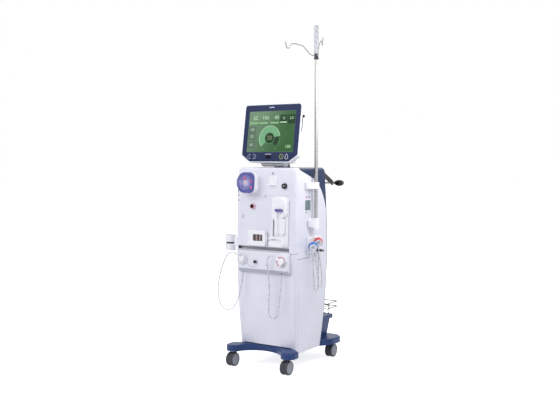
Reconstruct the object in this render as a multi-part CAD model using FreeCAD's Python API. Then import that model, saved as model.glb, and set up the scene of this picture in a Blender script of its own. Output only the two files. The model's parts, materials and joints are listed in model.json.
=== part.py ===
import FreeCAD, Part
import math
import os

V = FreeCAD.Vector
X_AXIS, Y_AXIS, Z_AXIS = V(1, 0, 0), V(0, 1, 0), V(0, 0, 1)

# Machine frame while modelling, in millimetres: X to the viewer's right along the front, Y to the back, Z up
# from the floor, origin between the casters. The finished pieces are shifted so that the origin is the bottom
# centre of the whole machine's box.

# The cabinet's width, which most places across the machine are measured from
BODY_HALF_WIDTH = 190.0

# Clearances
SEAT = 0.3              # gap between a piece and what it sits on or in
REVEAL = 0.6            # visible gap between two covers
RUNNING = 0.05          # radial clearance of a shaft in its hole

# Casters
WHEEL_RADIUS = 37.5
WHEEL_WIDTH = 17.5
AXLE_RADIUS = 4.0
CASTER_TRAIL = 21.0
CASTER_WEB = 7.0
STEM_RADIUS = 5.5
CASTER_X = BODY_HALF_WIDTH - 14
CASTER_FRONT_Y = -216.0
CASTER_REAR_Y = 262.0

# Base
BASE_HALF_WIDTH = BODY_HALF_WIDTH + 30
BASE_FRONT = 262.0
BASE_REAR = 314.0
BASE_BOTTOM = 84.0
BASE_TOP = 118.0
BASE_WALL = 4.0
BASE_WAIST = BODY_HALF_WIDTH - 22    # half width where the side skirts hang over it
LOBE_RADIUS = 42.0
ARC_DEPTH_Y = -150.0    # how far back the concave front reaches
BASE_ROUND = 10.0

# Body
BODY_BOTTOM = 88.0
BODY_TOP = 1091.0
SIDE_STRAIGHT_Z = 650.0
SIDE_RADIUS = 11700.0
FRONT_PEAK_Z = 620.0
FRONT_PEAK_Y = -180.0
FRONT_RADIUS = 4866.0
REAR_PEAK_Z = 650.0
REAR_PEAK_Y = 176.0
REAR_RADIUS = 2900.0
CORNER_ROUND = 11.0
REAR_ROUND = 14.0
TOP_ROUND = 24.0
WALL = 4.0
PILASTER_X = BODY_HALF_WIDTH - 35    # the side panels wrap round the front as far as this
TRAY_REACH = BODY_HALF_WIDTH - 14     # the drip tray's left end
DOOR_BOTTOM = 122.0
SHELF_BOTTOM = 519.0
SHELF_TOP = 638.0
FRONT_PANEL_BOTTOM = SHELF_TOP + 24
PANEL_STEP_Z = 940.0     # groove across the front panel
NAVY_FRONT = [(-122, 1078), (-23, 1045), (52, 1011), (119, 937), (153, 851)]
NAVY_STRIP = 14.0
SEAM_WIDTH, SEAM_DEPTH = 2.2, 1.6
VENT_COUNT, VENT_PITCH, VENT_WIDTH, VENT_HEIGHT = 9, 14.0, 150.0, 6.0
VENT_Z = 560.0
SCREW_LEVELS = (911.0, 939.0)
KNOB_Y, KNOB_Z = -164.0, 684.0

# Concentrate shelf
SHELF_HALF_WIDTH = BODY_HALF_WIDTH - 27
SHELF_FRONT_Y = -208.0
SHELF_LEAN = 10.0
CONNECTOR_Z = SHELF_TOP - 48
CONNECTOR_X = (-132.0, 123.0)
CONNECTOR_RADIUS = 30.0
NOZZLE_LENGTH, NOZZLE_RUN = 36.0, 24.0
NOZZLE_AIM = [(-0.72, -0.22, 0.62), (-0.80, -0.25, 0.55)]

# Front modules: centre x, centre z and size
PUMP_X, PUMP_Z, PUMP_RADIUS, PUMP_DEPTH = -106.0, 1006.0, 56.0, 42.0
RACEWAY_RADIUS, RACEWAY_DEPTH = 42.0, 30.0
ROTOR_RADIUS, ROLLER_RADIUS, ROLLER_RING = 19.0, 7.0, 31.0
COVER_THICK = 9.0
DETECTOR_X, DETECTOR_Z, DETECTOR_W, DETECTOR_H = -42.0, 709.0, 118.0, 87.0
DETECTOR_DEPTH, DETECTOR_DOOR = 9.0, 11.0
SYRINGE_X, SYRINGE_Z, SYRINGE_W, SYRINGE_H = 98.0, 802.0, 104.0, 274.0
SYRINGE_PLATE = 7.0
PORT_RADIUS, PORT_DEPTH = 16.0, 13.0
PORTS = [(-81.0, 880.0), (119.0, 993.0)]
CARD_X, CARD_Z, CARD_W, CARD_H = 43.0, 1017.0, 51.0, 60.0
EYE_X, EYE_Z, EYE_RADIUS = 42.0, 1060.0, 6.5
LINE_CLIPS = ((-152.0, 827.0, 45), (-9.0, 942.0, 0))    # x, z and turn
LINE_CLIP_W, LINE_CLIP_H = 24.0, 12.0
DIMPLE_X, DIMPLE_Z = -47.0, 912.0
SPOUT_X, SPOUT_Z = -45.0, 580.0

# Left holder for the blood filter
HOLDER_Y, HOLDER_PIVOT_X, CLIP_X = -120.0, -BODY_HALF_WIDTH - 21, -BODY_HALF_WIDTH - 82
CLIP_OUTER, CLIP_INNER, CLIP_MOUTH = 29.0, 22.0, 30.0
CLIP_LEVELS = [(624.0, 662.0), (672.0, 712.0)]

# Right side
COUPLING_CENTRE = V(BODY_HALF_WIDTH + 24, -29, 676)
COUPLING_OUTER, COUPLING_INNER, COUPLING_LENGTH = 23.0, 14.0, 30.0
BLOCK_THICK = 12.0
BLOCK_FRONT, BLOCK_REAR, BLOCK_LOW, BLOCK_HIGH = -62.0, 84.0, 624.0, 716.0
BUTTON_Y, BUTTON_Z, BUTTON_RADIUS, BUTTON_PROUD = 121.0, 625.0, 5.5, 4.0

# Infusion pole
POLE_X, POLE_Y = BODY_HALF_WIDTH + 25, 0.0
POLE_OUTER, ROD_OUTER = 9.5, 8.0
POLE_BOTTOM, POLE_SPLIT, ROD_BOTTOM = 768.0, 1616.0, 1250.0
COLLAR_BOTTOM, COLLAR_TOP, COLLAR_RADIUS = 1673.0, 1704.0, 13.0
POLE_TOP, SLEEVE_RADIUS, SLEEVE_PITCH = 1857.0, 14.0, 29.0
BRACKETS = [(977.0, 1012.0, -84.0), (758.0, 816.0, -58.0)]    # bottom, top and front end
HOOK_WIRE = 3.0
HOOK_ANGLES = (222.0, 312.0)
HOOK_PROFILE = [(8, 1690, 0), (36, 1702, 16), (74, 1745, 20), (118, 1756, 20), (140, 1752, 6), (147, 1731, 8),
                (163, 1731, 8), (168, 1762, 0)]

# Monitor
SCREEN_W, SCREEN_H = 304.0, 228.0
BEZEL_SIDE, BEZEL_TOP, BEZEL_FOOT = 27.0, 34.0, 50.0
CHAMFER_W, CHAMFER_H = 52.0, 36.0
RIM = 5.0
MONITOR_CENTRE = V(0, -119, 1287)
MONITOR_LEAN = 8.95
BEZEL_BACK, RIM_BACK, SHELL_BACK = -14.0, -32.0, -66.0
TILT_Y, TILT_Z, TILT_PIN = -22.0, 1152.0, 6.0
PAN_Y = -5.0
PEDESTAL_RADIUS, PEDESTAL_TOP = 45.0, 1112.0
POWER_KEY_RADIUS, KEY_Y, KEY_DEPTH = 8.0, 84.0, -22.0

# Handle, wire rack and canister stand
HANDLE_Y, HANDLE_Z, HANDLE_RADIUS = 255.0, 1001.0, 6.5
STRAP_X, STRAP_THICK, STRAP_WIDTH = BODY_HALF_WIDTH - 18, 7.0, 26.0
STRAP_BOLT_Z = 1025.0
GRIP_START, GRIP_END, GRIP_RADIUS = BODY_HALF_WIDTH, BODY_HALF_WIDTH + 53, 18.0
RACK_WIRE = 2.5
RACK_HALF_WIDTH, RACK_FRONT, RACK_REAR = BODY_HALF_WIDTH - 16, 196.0, 322.0
RACK_LEVELS = (280.0, 309.0)
RACK_POST_X, RACK_POST_REAR = BODY_HALF_WIDTH - 66, 300.0
STAND_HALF_WIDTH, STAND_FRONT, STAND_REAR = BODY_HALF_WIDTH - 38, 149.0, 316.0
STAND_TOP, STAND_RIM = 235.0, 22.0
PLATFORM_HALF_WIDTH, PLATFORM_RISE = RACK_POST_X - 20, 3.0

# Chassis and inner pieces
POST, POST_WALL = 25.0, 2.5
POST_X, POST_FRONT_Y, POST_REAR_Y = BODY_HALF_WIDTH - 34, -122.0, 52.0
TRAY_LEVELS = (BASE_TOP, 430.0, 700.0)
TAB_LEVELS = (190.0, 455.0, 900.0)    # tabs that the cover panels are fixed to
TAB_HEIGHT = 24.0
TRAY_THICK = 3.0

# Hoses: tube diameters, and the corners of each route after it has left its nozzle
HOSE = 6.5
SIDE_HOSE = 6.0
HOSE_LEFT = [(-198, -226, 627), (-222, -227, 607), (-242, -227, 572), (-259, -226, 530), (-274, -225, 484),
             (-284, -224, 436), (-287, -223, 386), (-277, -222, 342), (-253, -221, 312), (-220, -220, 300),
             (-188, -219, 313), (-165, -217, 343), (-149, -214, 386), (-138, -210, 434), (-131, -206, 480),
             (-128, -203, 519)]
HOSE_FRONT = [(54, -228, 617), (47, -229, 591), (51, -229, 554), (57, -228, 508), (58, -224, 456),
              (54, -220, 404), (48, -215, 353), (45, -212, 301), (62, -211, 284), (84, -210, 284),
              (101, -209, 301), (107, -208, 345), (113, -208, 396), (119, -207, 444), (122.5, -205, 486),
              (123, -202, 519)]
# X of the side hoses is measured from the side panel's face
HOSE_BLUE = [(56, -83, 623), (49, -72, 582), (41, -57, 542), (38, -45, 502), (37, -38, 464),
             (36, -36, 432.5), (36, -23.5, 420), (36, -6, 420), (36, 6.5, 432.5), (35, 9, 464),
             (31, 12, 508), (24, 14, 550), (15, 15.5, 589), (7, 15, 624)]
HOSE_RED = [(58, -29, 641), (57, -24, 600), (53, -18, 558), (48, -13.5, 518), (46, -9, 484),
            (45, -8, 451.5), (45, 4.5, 439), (44.5, 21.5, 439), (44, 34, 451.5), (41, 38, 484),
            (34, 45, 526), (17, 59, 580), (7, 61, 624)]


# Outlines, rods and turned parts

def corner_edges(points, closed):
    """Edges through (x, y, z, radius) corners: straight runs joined by tangent arcs."""
    spots = [V(*p[:3]) for p in points]
    last = len(points) - 1
    ends = []
    for i, spot in enumerate(spots):
        radius = points[i][3]
        if radius == 0 or (not closed and i in (0, last)):
            ends.append((spot, spot, None))
            continue
        back = (spots[i - 1] - spot).normalize()
        on = (spots[(i + 1) % len(spots)] - spot).normalize()
        half = back.getAngle(on) / 2
        reach = radius / math.tan(half)
        towards = (back + on).normalize()
        middle = spot + towards * (radius / math.sin(half) - radius)
        ends.append((spot + back * reach, spot + on * reach, middle))
    edges = []
    for i, (start, stop, middle) in enumerate(ends):
        if middle is not None:
            edges.append(Part.Arc(start, middle, stop).toShape())
        if closed or i < last:
            following = ends[(i + 1) % len(ends)][0]
            if (following - stop).Length > 1e-6:
                edges.append(Part.makeLine(stop, following))
    return edges


def outline(corners, z=0.0):
    """Closed rounded outline at height z from (x, y, radius) corners."""
    return Part.Wire(corner_edges([(x, y, z, r) for x, y, r in corners], True))


def prism(corners, z0, z1):
    return Part.Face(outline(corners, z0)).extrude(V(0, 0, z1 - z0))


def rectangle(cx, cy, width, height, radius):
    w, h = width / 2, height / 2
    return [(cx + sx * w, cy + sy * h, radius) for sx, sy in ((-1, -1), (1, -1), (1, 1), (-1, 1))]


def pad(cx, cy, width, height, radius, z0, z1):
    """Block with rounded corners, centred on (cx, cy)."""
    return prism(rectangle(cx, cy, width, height, radius), z0, z1)


def box(x0, x1, y0, y1, z0, z1):
    return Part.makeBox(x1 - x0, y1 - y0, z1 - z0, V(x0, y0, z0))


def cylinder(radius, start, stop):
    return Part.makeCylinder(radius, (stop - start).Length, start, stop - start)


def slab_x(corners, x0, x1):
    """Outline given as (y, z, radius) corners and drawn out along X."""
    wire = Part.Wire(corner_edges([(x0, y, z, r) for y, z, r in corners], True))
    return Part.Face(wire).extrude(V(x1 - x0, 0, 0))


def turned(profile):
    """Solid of revolution about +Z from (radius, height) points."""
    points = [V(r, 0, h) for r, h in profile]
    return Part.Face(Part.makePolygon(points + points[:1])).revolve(V(0, 0, 0), Z_AXIS, 360)


def aimed(shape, base, direction):
    """Copy of a shape built about +Z, moved to base and turned to point along direction."""
    copy = shape.copy()
    copy.Placement = FreeCAD.Placement(base, FreeCAD.Rotation(Z_AXIS, direction)).multiply(copy.Placement)
    return copy


def sweep(edges, radius):
    """Round rod along edges that follow each other."""
    path = Part.Wire(edges)
    first = edges[0]
    start = first.valueAt(first.FirstParameter)
    heading = first.tangentAt(first.FirstParameter)
    ring = Part.Wire(Part.makeCircle(radius, start, heading))
    return path.makePipeShell([ring], True, False)


def rod(corners, radius):
    """Round wire through (x, y, z, bend radius) corners."""
    return sweep(corner_edges(corners, False), radius)


def hose_radii(spots):
    """Each arc is as large as its two runs allow."""
    radii = [0]
    for a, b, c in zip(spots, spots[1:], spots[2:]):
        turn = (b - a).getAngle(c - b)
        radii.append(0.45 * min((b - a).Length, (c - b).Length) / math.tan(turn / 2))
    return radii + [0]


def hose(spots, diameter):
    corners = [(p.x, p.y, p.z, r) for p, r in zip(spots, hose_radii(spots))]
    return sweep(corner_edges(corners, False), diameter / 2)


def fused(shapes):
    first, rest = shapes[0], shapes[1:]
    return first.multiFuse(rest).removeSplitter() if rest else first


def mirrored(shape):
    return shape.mirror(V(0, 0, 0), X_AXIS)


def group(shapes):
    return Part.makeCompound(shapes)


def rounded_top(block, height, radius):
    """The block with the edges of its flat top at this height rounded."""
    rim = [e for e in block.Edges if all(abs(v.Z - height) < 1e-6 for v in e.Vertexes)]
    return block.makeFillet(radius, rim)


# Where the body's surfaces are

def front_y(z):
    return FRONT_PEAK_Y + FRONT_RADIUS - math.sqrt(FRONT_RADIUS ** 2 - (z - FRONT_PEAK_Z) ** 2)


def rear_y(z):
    return REAR_PEAK_Y - REAR_RADIUS + math.sqrt(REAR_RADIUS ** 2 - (z - REAR_PEAK_Z) ** 2)


def half_width(z):
    below = max(0.0, SIDE_STRAIGHT_Z - z)
    return BODY_HALF_WIDTH - SIDE_RADIUS + math.sqrt(SIDE_RADIUS ** 2 - below ** 2)


def leaning_frame(origin, lean_deg):
    """Local X to the right, local Y up a face that leans back, local Z out of that face."""
    return FreeCAD.Placement(origin, FreeCAD.Rotation(X_AXIS, 90 - lean_deg))


def front_frame(x, z):
    lean = math.degrees(math.asin((z - FRONT_PEAK_Z) / FRONT_RADIUS))
    return leaning_frame(V(x, front_y(z), z), lean)


def shelf_frame(x, z):
    slope = math.tan(math.radians(SHELF_LEAN))
    return leaning_frame(V(x, SHELF_FRONT_Y + (z - SHELF_BOTTOM - 26) * slope, z), SHELF_LEAN)


MONITOR = leaning_frame(MONITOR_CENTRE, MONITOR_LEAN)


def placed(shape, frame):
    copy = shape.copy()
    copy.Placement = frame.multiply(copy.Placement)
    return copy


def outward(frame):
    return frame.Rotation.multVec(Z_AXIS)


# Casters and base

def caster_fork(x, y):
    """Web between the two wheels, hub, axle, thrust flange and stem; the wheels trail forward."""
    axle = V(x, y - CASTER_TRAIL, WHEEL_RADIUS)
    top = BASE_BOTTOM - SEAT
    half = CASTER_WEB / 2
    ay, az = axle.y, axle.z
    side = [(ay - 15, az - 12, 10), (ay + 14, az - 14, 12), (y + 13, az + 16, 14),
            (y + 13, top - 4, 1.5), (y - 13, top - 4, 1.5), (ay - 16, az + 20, 12)]
    web = slab_x(side, x - half, x + half)
    flange = cylinder(16, V(x, y, top - 5), V(x, y, top))
    bush = turned([(0, 0), (10, 0), (14, 3.5), (14, 7.5), (0, 7.5)])
    bush = aimed(bush, V(x, y, top - 8), Z_AXIS)
    stem = cylinder(STEM_RADIUS, V(x, y, top - 1), V(x, y, BASE_TOP - 9))
    reach = half + WHEEL_WIDTH
    pin = cylinder(AXLE_RADIUS, axle - X_AXIS * reach, axle + X_AXIS * reach)
    hub = cylinder(9, axle - X_AXIS * (half + 0.4), axle + X_AXIS * (half + 0.4))
    return fused([web, flange, bush, stem, hub, pin])


def caster_wheels(x, y):
    """Twin wheels on one axle: tread with rounded shoulders, dished disc and hub cap ring."""
    r, w = WHEEL_RADIUS, WHEEL_WIDTH
    bore = AXLE_RADIUS + RUNNING
    tread = [(bore, 0), (r - 4, 0), (r - 1, 1.2), (r, 4), (r, w - 4), (r - 1, w - 1.2), (r - 4, w)]
    tread.append((r - 6, w))
    disc = [(r - 7.5, w - 2.5), (r - 20, w - 1), (r - 23, w + 0.6), (r - 27, w + 1.4), (bore, w + 1.4)]
    profile = tread + disc
    wheel = turned(profile)
    axle = V(x, y - CASTER_TRAIL, WHEEL_RADIUS)
    side = X_AXIS * (CASTER_WEB / 2 + 0.9)
    return group([aimed(wheel, axle + side, X_AXIS), aimed(wheel, axle - side, -X_AXIS)])


def base_outline(inset=0.0):
    """Four lobes, a concave front and a waist under the side skirts."""
    lobe = LOBE_RADIUS - inset
    lx, ly = BASE_HALF_WIDTH - LOBE_RADIUS, -(BASE_FRONT - LOBE_RADIUS)
    depth = ARC_DEPTH_Y + inset
    drop = depth - ly
    hollow = (lx ** 2 + drop ** 2 - lobe ** 2) / (2 * (drop + lobe))
    centre = V(0, depth - hollow, 0)
    join = V(lx, ly, 0) + (centre - V(lx, ly, 0)).normalize() * lobe
    nose = V(lx, ly, 0) + V(0.35, -1, 0).normalize() * lobe
    outer = V(lx + lobe, ly, 0)
    wide, waist, rear = BASE_HALF_WIDTH - inset, BASE_WAIST - inset, BASE_REAR - inset
    ahead = [(wide, ly, 0, 0), (wide, ly + 38, 0, 26), (waist, ly + 74, 0, 26 + inset)]
    behind = [(waist, 106, 0, 50 + inset), (wide, 182, 0, 50 - inset), (wide, rear, 0, 60 - inset)]
    chain = ahead + behind + [(0, rear, 0, 0)]
    right = [Part.Arc(join, nose, outer).toShape()] + corner_edges(chain, False)
    left = [mirrored(edge) for edge in right]
    front = Part.Arc(V(-join.x, join.y, 0), V(0, depth, 0), join).toShape()
    return Part.Wire(Part.__sortEdges__([front] + right + left))


def skirt_groove():
    """Room in the base for the side panels' lower edges."""
    ring = body_block(-REVEAL).cut(body_block(WALL + REVEAL))
    low, inner = BODY_BOTTOM - REVEAL, PILASTER_X - REVEAL
    right = box(inner, 300, -300, 300, low, 200)
    return ring.common(fused([right, mirrored(right)]))


def base_cover():
    face = Part.Face(base_outline())
    face.translate(V(0, 0, BASE_BOTTOM))
    block = rounded_top(face.extrude(V(0, 0, BASE_TOP - BASE_BOTTOM)), BASE_TOP, BASE_ROUND)
    inner = Part.Face(base_outline(BASE_WALL))
    inner.translate(V(0, 0, BASE_BOTTOM - 1))
    block = block.cut(inner.extrude(V(0, 0, BASE_TOP - BASE_WALL - BASE_BOTTOM + 1)))
    return block.cut(skirt_groove())


def caster_places():
    return {"fl": (-CASTER_X, CASTER_FRONT_Y), "fr": (CASTER_X, CASTER_FRONT_Y),
            "rl": (-CASTER_X, CASTER_REAR_Y), "rr": (CASTER_X, CASTER_REAR_Y)}


def base_frame():
    """Steel beams inside the base, with a socket for each caster stem."""
    low, high = BASE_BOTTOM + 4, BASE_BOTTOM + 12
    top = BASE_TOP - BASE_WALL - SEAT
    beam = 24.0
    outer = PILASTER_X - REVEAL - 3
    rail = box(outer - beam, outer, CASTER_FRONT_Y + 16, CASTER_REAR_Y, low, high)
    link = box(outer - 8, CASTER_X, CASTER_FRONT_Y - beam / 2, CASTER_FRONT_Y + beam, low, high)
    pieces = [rail, mirrored(rail), link, mirrored(link),
              box(-outer, outer, POST_FRONT_Y - 8, POST_FRONT_Y + 16, low, high),
              box(-outer, outer, POST_REAR_Y, POST_REAR_Y + beam, low, high),
              box(-CASTER_X, CASTER_X, CASTER_REAR_Y - beam, CASTER_REAR_Y, low, high)]
    holes = []
    for x, y in caster_places().values():
        pieces.append(cylinder(17, V(x, y, BASE_BOTTOM), V(x, y, top)))
        holes.append(cylinder(STEM_RADIUS + RUNNING, V(x, y, BASE_BOTTOM - 1), V(x, y, BASE_TOP - 8)))
    return fused(pieces).cut(fused(holes))


# Body shells

def body_block(inset=0.0):
    """The body's outer form, or the same form drawn in by inset."""
    low, high = BODY_BOTTOM - (1 if inset > 0 else 0), BODY_TOP - inset
    levels = (low - 20, (low + high) / 2, high + 20)
    front = [V(-300, front_y(z) + inset, z) for z in levels]
    rear = [V(-300, rear_y(z) - inset, z) for z in reversed(levels)]
    side = Part.Wire([Part.Arc(*front).toShape(), Part.makeLine(front[2], rear[0]),
                      Part.Arc(*rear).toShape(), Part.makeLine(rear[2], front[0])])
    across = Part.Face(side).extrude(V(600, 0, 0))

    r = TOP_ROUND - inset
    flank = [V(half_width(z) - inset, -300, z) for z in (low, (low + SIDE_STRAIGHT_Z) / 2, SIDE_STRAIGHT_Z)]
    start, end = V(flank[2].x, -300, high - r), V(flank[2].x - r, -300, high)
    bend = V(end.x + r * math.sqrt(0.5), -300, start.z + r * math.sqrt(0.5))
    right = [Part.Arc(*flank).toShape(), Part.makeLine(flank[2], start), Part.Arc(start, bend, end).toShape()]
    left = [mirrored(edge) for edge in right]
    top = Part.makeLine(V(-end.x, -300, high), end)
    foot = Part.makeLine(V(-flank[0].x, -300, low), flank[0])
    ahead = Part.Wire(Part.__sortEdges__(right + left + [top, foot]))
    block = across.common(Part.Face(ahead).extrude(V(0, 600, 0)))

    def perimeter(surface, side):
        """Edges of the front or rear face, but for the lowest."""
        found = []
        for edge in block.Edges:
            ends = [v.Point for v in edge.Vertexes]
            on_face = all(abs(p.y - surface(p.z) - side * inset) < 0.01 for p in ends)
            if on_face and any(p.z > low + 1 for p in ends):
                found.append(edge)
        return found

    block = block.makeFillet(CORNER_ROUND - inset, perimeter(front_y, 1))
    return block.makeFillet(REAR_ROUND - inset, perimeter(rear_y, -1))


def white_zone(shift):
    """Everything in front of the arc where the navy rear cover begins."""
    curve = [V(-300, y + shift, z + shift) for y, z in NAVY_FRONT]
    arc = Part.BSplineCurve()
    arc.interpolate(curve)
    low, end = BODY_BOTTOM - 10, curve[-1]
    strip = [V(-300, rear_y(z) - NAVY_STRIP + shift, z) for z in ((end.z + low) / 2, low)]
    top, far = V(-300, curve[0].y, BODY_TOP + 60), V(-300, -400, BODY_TOP + 60)
    foot = V(-300, -400, low)
    edges = [Part.makeLine(foot, far), Part.makeLine(far, top), Part.makeLine(top, curve[0]), arc.toShape(),
             Part.Arc(end, strip[0], strip[1]).toShape(), Part.makeLine(strip[1], foot)]
    return Part.Face(Part.Wire(edges)).extrude(V(600, 0, 0))


def grooves(tool):
    """Shallow grooves in the body's surface where the tool runs."""
    return body_block().cut(body_block(SEAM_DEPTH)).common(tool)


def side_seams():
    """Lines where the lower side cover meets the upper one and the pilaster."""
    low, high, front, back = 602.0, SHELF_TOP - 5, -147.0, -26.0
    half, inner = SEAM_WIDTH / 2, BODY_HALF_WIDTH - 25
    upright = [(front - half, low, 0), (front + half, low, 0), (front + 18 + half, BODY_BOTTOM - 5, 0),
               (front + 18 - half, BODY_BOTTOM - 5, 0)]
    lines = [box(inner, 300, front, back, low - half, low + half),
             box(inner, 300, back - half, back + half, low, low + 26),
             box(PILASTER_X, 300, -260, front + 1, high - half, high + half),
             slab_x(upright, inner, 300)]
    return grooves(fused(lines))


def panel_marks():
    """Groove across the front panel and a shallow dimple below it."""
    half = SEAM_WIDTH / 2
    step = grooves(box(-300, 300, -300, -100, PANEL_STEP_Z - half, PANEL_STEP_Z + half))
    dimple = placed(Part.makeSphere(12, V(0, 0, 10.5)), front_frame(DIMPLE_X, DIMPLE_Z))
    return step.fuse(dimple)


def body_shells():
    """White front, door and side panels, and the navy rear cover, cut from one shell."""
    shell = body_block().cut(body_block(WALL))
    white = shell.common(white_zone(-REVEAL / 2))
    edge = PILASTER_X
    inner = edge - REVEAL
    right = white.common(box(edge, 300, -300, 300, 0, 1200)).cut(side_seams())
    knob = turned([(0, -6), (6, -6), (6, 2), (4, 4), (0, 4)])
    knob = aimed(knob, V(BODY_HALF_WIDTH, KNOB_Y, KNOB_Z), X_AXIS)
    right = right.fuse(knob)
    left = white.common(box(-300, -edge, -300, 300, 0, 1200))
    ditch = box(-TRAY_REACH - REVEAL, 0, -300, -100, SHELF_TOP, FRONT_PANEL_BOTTOM)
    left = left.cut(ditch)
    screw_x = 8 - BODY_HALF_WIDTH
    screw = cylinder(3.5, V(0, 0, -2), V(0, 0, 1.2))
    left = left.fuse([placed(screw, front_frame(screw_x, z)) for z in SCREW_LEVELS])
    middle = white.common(box(-inner, inner, -300, 0, 0, 1200))
    panel = middle.common(box(-300, 300, -300, 300, FRONT_PANEL_BOTTOM, 1200)).cut(panel_marks())
    door = middle.common(box(-300, 300, -300, 0, DOOR_BOTTOM, SHELF_BOTTOM - REVEAL))
    rear = shell.cut(white_zone(REVEAL / 2)).cut(box(-inner, inner, 0, 300, 0, BASE_TOP + SEAT))
    start = VENT_Z - (VENT_COUNT - 1) * VENT_PITCH / 2
    slots = [box(-VENT_WIDTH / 2, VENT_WIDTH / 2, 100, 200, z, z + VENT_HEIGHT)
             for z in (start + i * VENT_PITCH for i in range(VENT_COUNT))]
    return {"front_panel": panel, "front_door": door, "side_panel_right": right, "side_panel_left": left,
            "rear_cover": rear.cut(fused(slots))}


def drip_tray():
    """Grey gutter between the front panel and the shelf, on into the left side panel."""
    floor, back, lip = SHELF_TOP + SEAT, front_y(SHELF_TOP) + 24, front_y(SHELF_TOP) - 4
    top, wall = FRONT_PANEL_BOTTOM - SEAT, 3.0
    profile = [(lip, floor, 0), (back, floor, 0), (back, top, 0), (back - wall, top, 0),
               (back - wall, floor + wall + 3, 4), (back - wall - 8, floor + wall, 0),
               (lip + 4, floor + wall, 2), (lip + 2.5, floor + wall + 4, 0), (lip, floor + wall + 4, 0)]
    return slab_x(profile, -TRAY_REACH, PILASTER_X - REVEAL)


# Concentrate shelf and its connectors

def shelf():
    """Moulded shelf with a leaning front, a boss for each connector and a socket for each hose end."""
    low, high = SHELF_BOTTOM, SHELF_TOP
    lean = math.tan(math.radians(SHELF_LEAN))
    foot = low + 26
    back = front_y(high) + 12
    profile = [(back, low, 0), (SHELF_FRONT_Y + 17, low, 7), (SHELF_FRONT_Y, foot, 9),
               (SHELF_FRONT_Y + (high - foot) * lean, high, 7), (back, high, 0)]
    body = slab_x(profile, -SHELF_HALF_WIDTH, SHELF_HALF_WIDTH)
    inner = PILASTER_X - REVEAL
    beside = box(inner, 300, FRONT_PEAK_Y - SEAT, 0, low - 1, high + 1)
    cavity = [(back + 1, low + WALL, 0), (SHELF_FRONT_Y + 25, low + WALL, 4), (SHELF_FRONT_Y + 13, foot, 6),
              (SHELF_FRONT_Y + 13 + (high - foot - WALL) * lean, high - WALL, 4), (back + 1, high - WALL, 0)]
    cavity = slab_x(cavity, -PILASTER_X + 8, PILASTER_X - 8)
    ends = [e for e in body.Edges if all(abs(abs(v.X) - SHELF_HALF_WIDTH) < 1e-6 for v in e.Vertexes)]
    body = body.makeFillet(6, [e for e in ends if e.CenterOfMass.y < FRONT_PEAK_Y - 8])
    body = body.cut(fused([beside, mirrored(beside), cavity]))
    for x in CONNECTOR_X:
        well = cylinder(CONNECTOR_RADIUS + SEAT, V(0, 0, -5), V(0, 0, 30))
        body = body.cut(placed(well, shelf_frame(x, CONNECTOR_Z)))
    spout = placed(cylinder(5 + SEAT, V(0, 0, -8), V(0, 0, 20)), shelf_frame(SPOUT_X, SPOUT_Z))
    slot = placed(pad(0, 0, 30, 5, 2.4, -3, 10), shelf_frame(34, 565))
    return body.cut(fused([spout, slot]))


def nozzle(side):
    """Where a connector's hose nozzle starts and the way it points."""
    frame = shelf_frame(CONNECTOR_X[0] if side < 0 else CONNECTOR_X[1], CONNECTOR_Z)
    start = frame.Base + outward(frame) * 10
    return start, V(*NOZZLE_AIM[0 if side < 0 else 1]).normalize()


def connector(side):
    """Round concentrate connector: scalloped ring, raised knob and the nozzle for its hose."""
    r = CONNECTOR_RADIUS
    rim = [(0, -5 + SEAT), (r, -5 + SEAT), (r, 6), (r - 3, 9), (r - 9, 9), (r - 11, 5), (r - 12, 5)]
    ring = turned(rim + [(r - 14, 14), (r - 16, 16), (0, 16)])
    notches = []
    for i in range(10):
        turn = math.radians(i * 36)
        spot = V((r + 1) * math.cos(turn), (r + 1) * math.sin(turn), -1)
        notches.append(cylinder(3.2, spot, spot + Z_AXIS * 13))
    frame = shelf_frame(CONNECTOR_X[0] if side < 0 else CONNECTOR_X[1], CONNECTOR_Z)
    start, aim = nozzle(side)
    spout = cylinder(HOSE / 2 + 1.5, start, start + aim * NOZZLE_LENGTH)
    return placed(ring.cut(fused(notches)), frame).fuse(spout).removeSplitter()


def fittings():
    """Small pieces on the front: card slot cover, status eye, line clips, sampling spout."""
    pieces = []
    card = pad(0, 0, CARD_W, CARD_H, 6, -3, 4).cut(pad(0, -CARD_H / 2 + 6, CARD_W - 12, 2.6, 1.2, 1, 6))
    card = card.cut(pad(0, 0, CARD_W - 9, CARD_H - 22, 4, 3, 6))
    pieces.append(placed(card, front_frame(CARD_X, CARD_Z)))
    r = EYE_RADIUS
    eye = turned([(0, -3), (r, -3), (r, 1.5), (r - 1.5, 2.5), (0, 2.5)])
    pieces.append(placed(eye, front_frame(EYE_X, EYE_Z)))
    for x, z, turn in LINE_CLIPS:
        clip = pad(0, 0, LINE_CLIP_W, LINE_CLIP_H, 4, -3, 3).fuse(pad(0, 0, 18, 10, 2, 3, 12))
        clip = clip.cut(cylinder(3.2, V(-20, 0, 7.5), V(20, 0, 7.5))).cut(box(-20, 20, -1.4, 1.4, 7.5, 14))
        clip.rotate(V(0, 0, 0), Z_AXIS, turn)
        pieces.append(placed(clip, front_frame(x, z)))
    base, tip = [(0, -8 + SEAT), (5, -8 + SEAT), (5, 2)], [(5, 18), (3.4, 18), (3.4, 27), (0, 27)]
    spout = turned(base + [(8, 4), (8, 16)] + tip)
    pieces.append(placed(spout, shelf_frame(SPOUT_X, SPOUT_Z)))
    return group(pieces)


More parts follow.
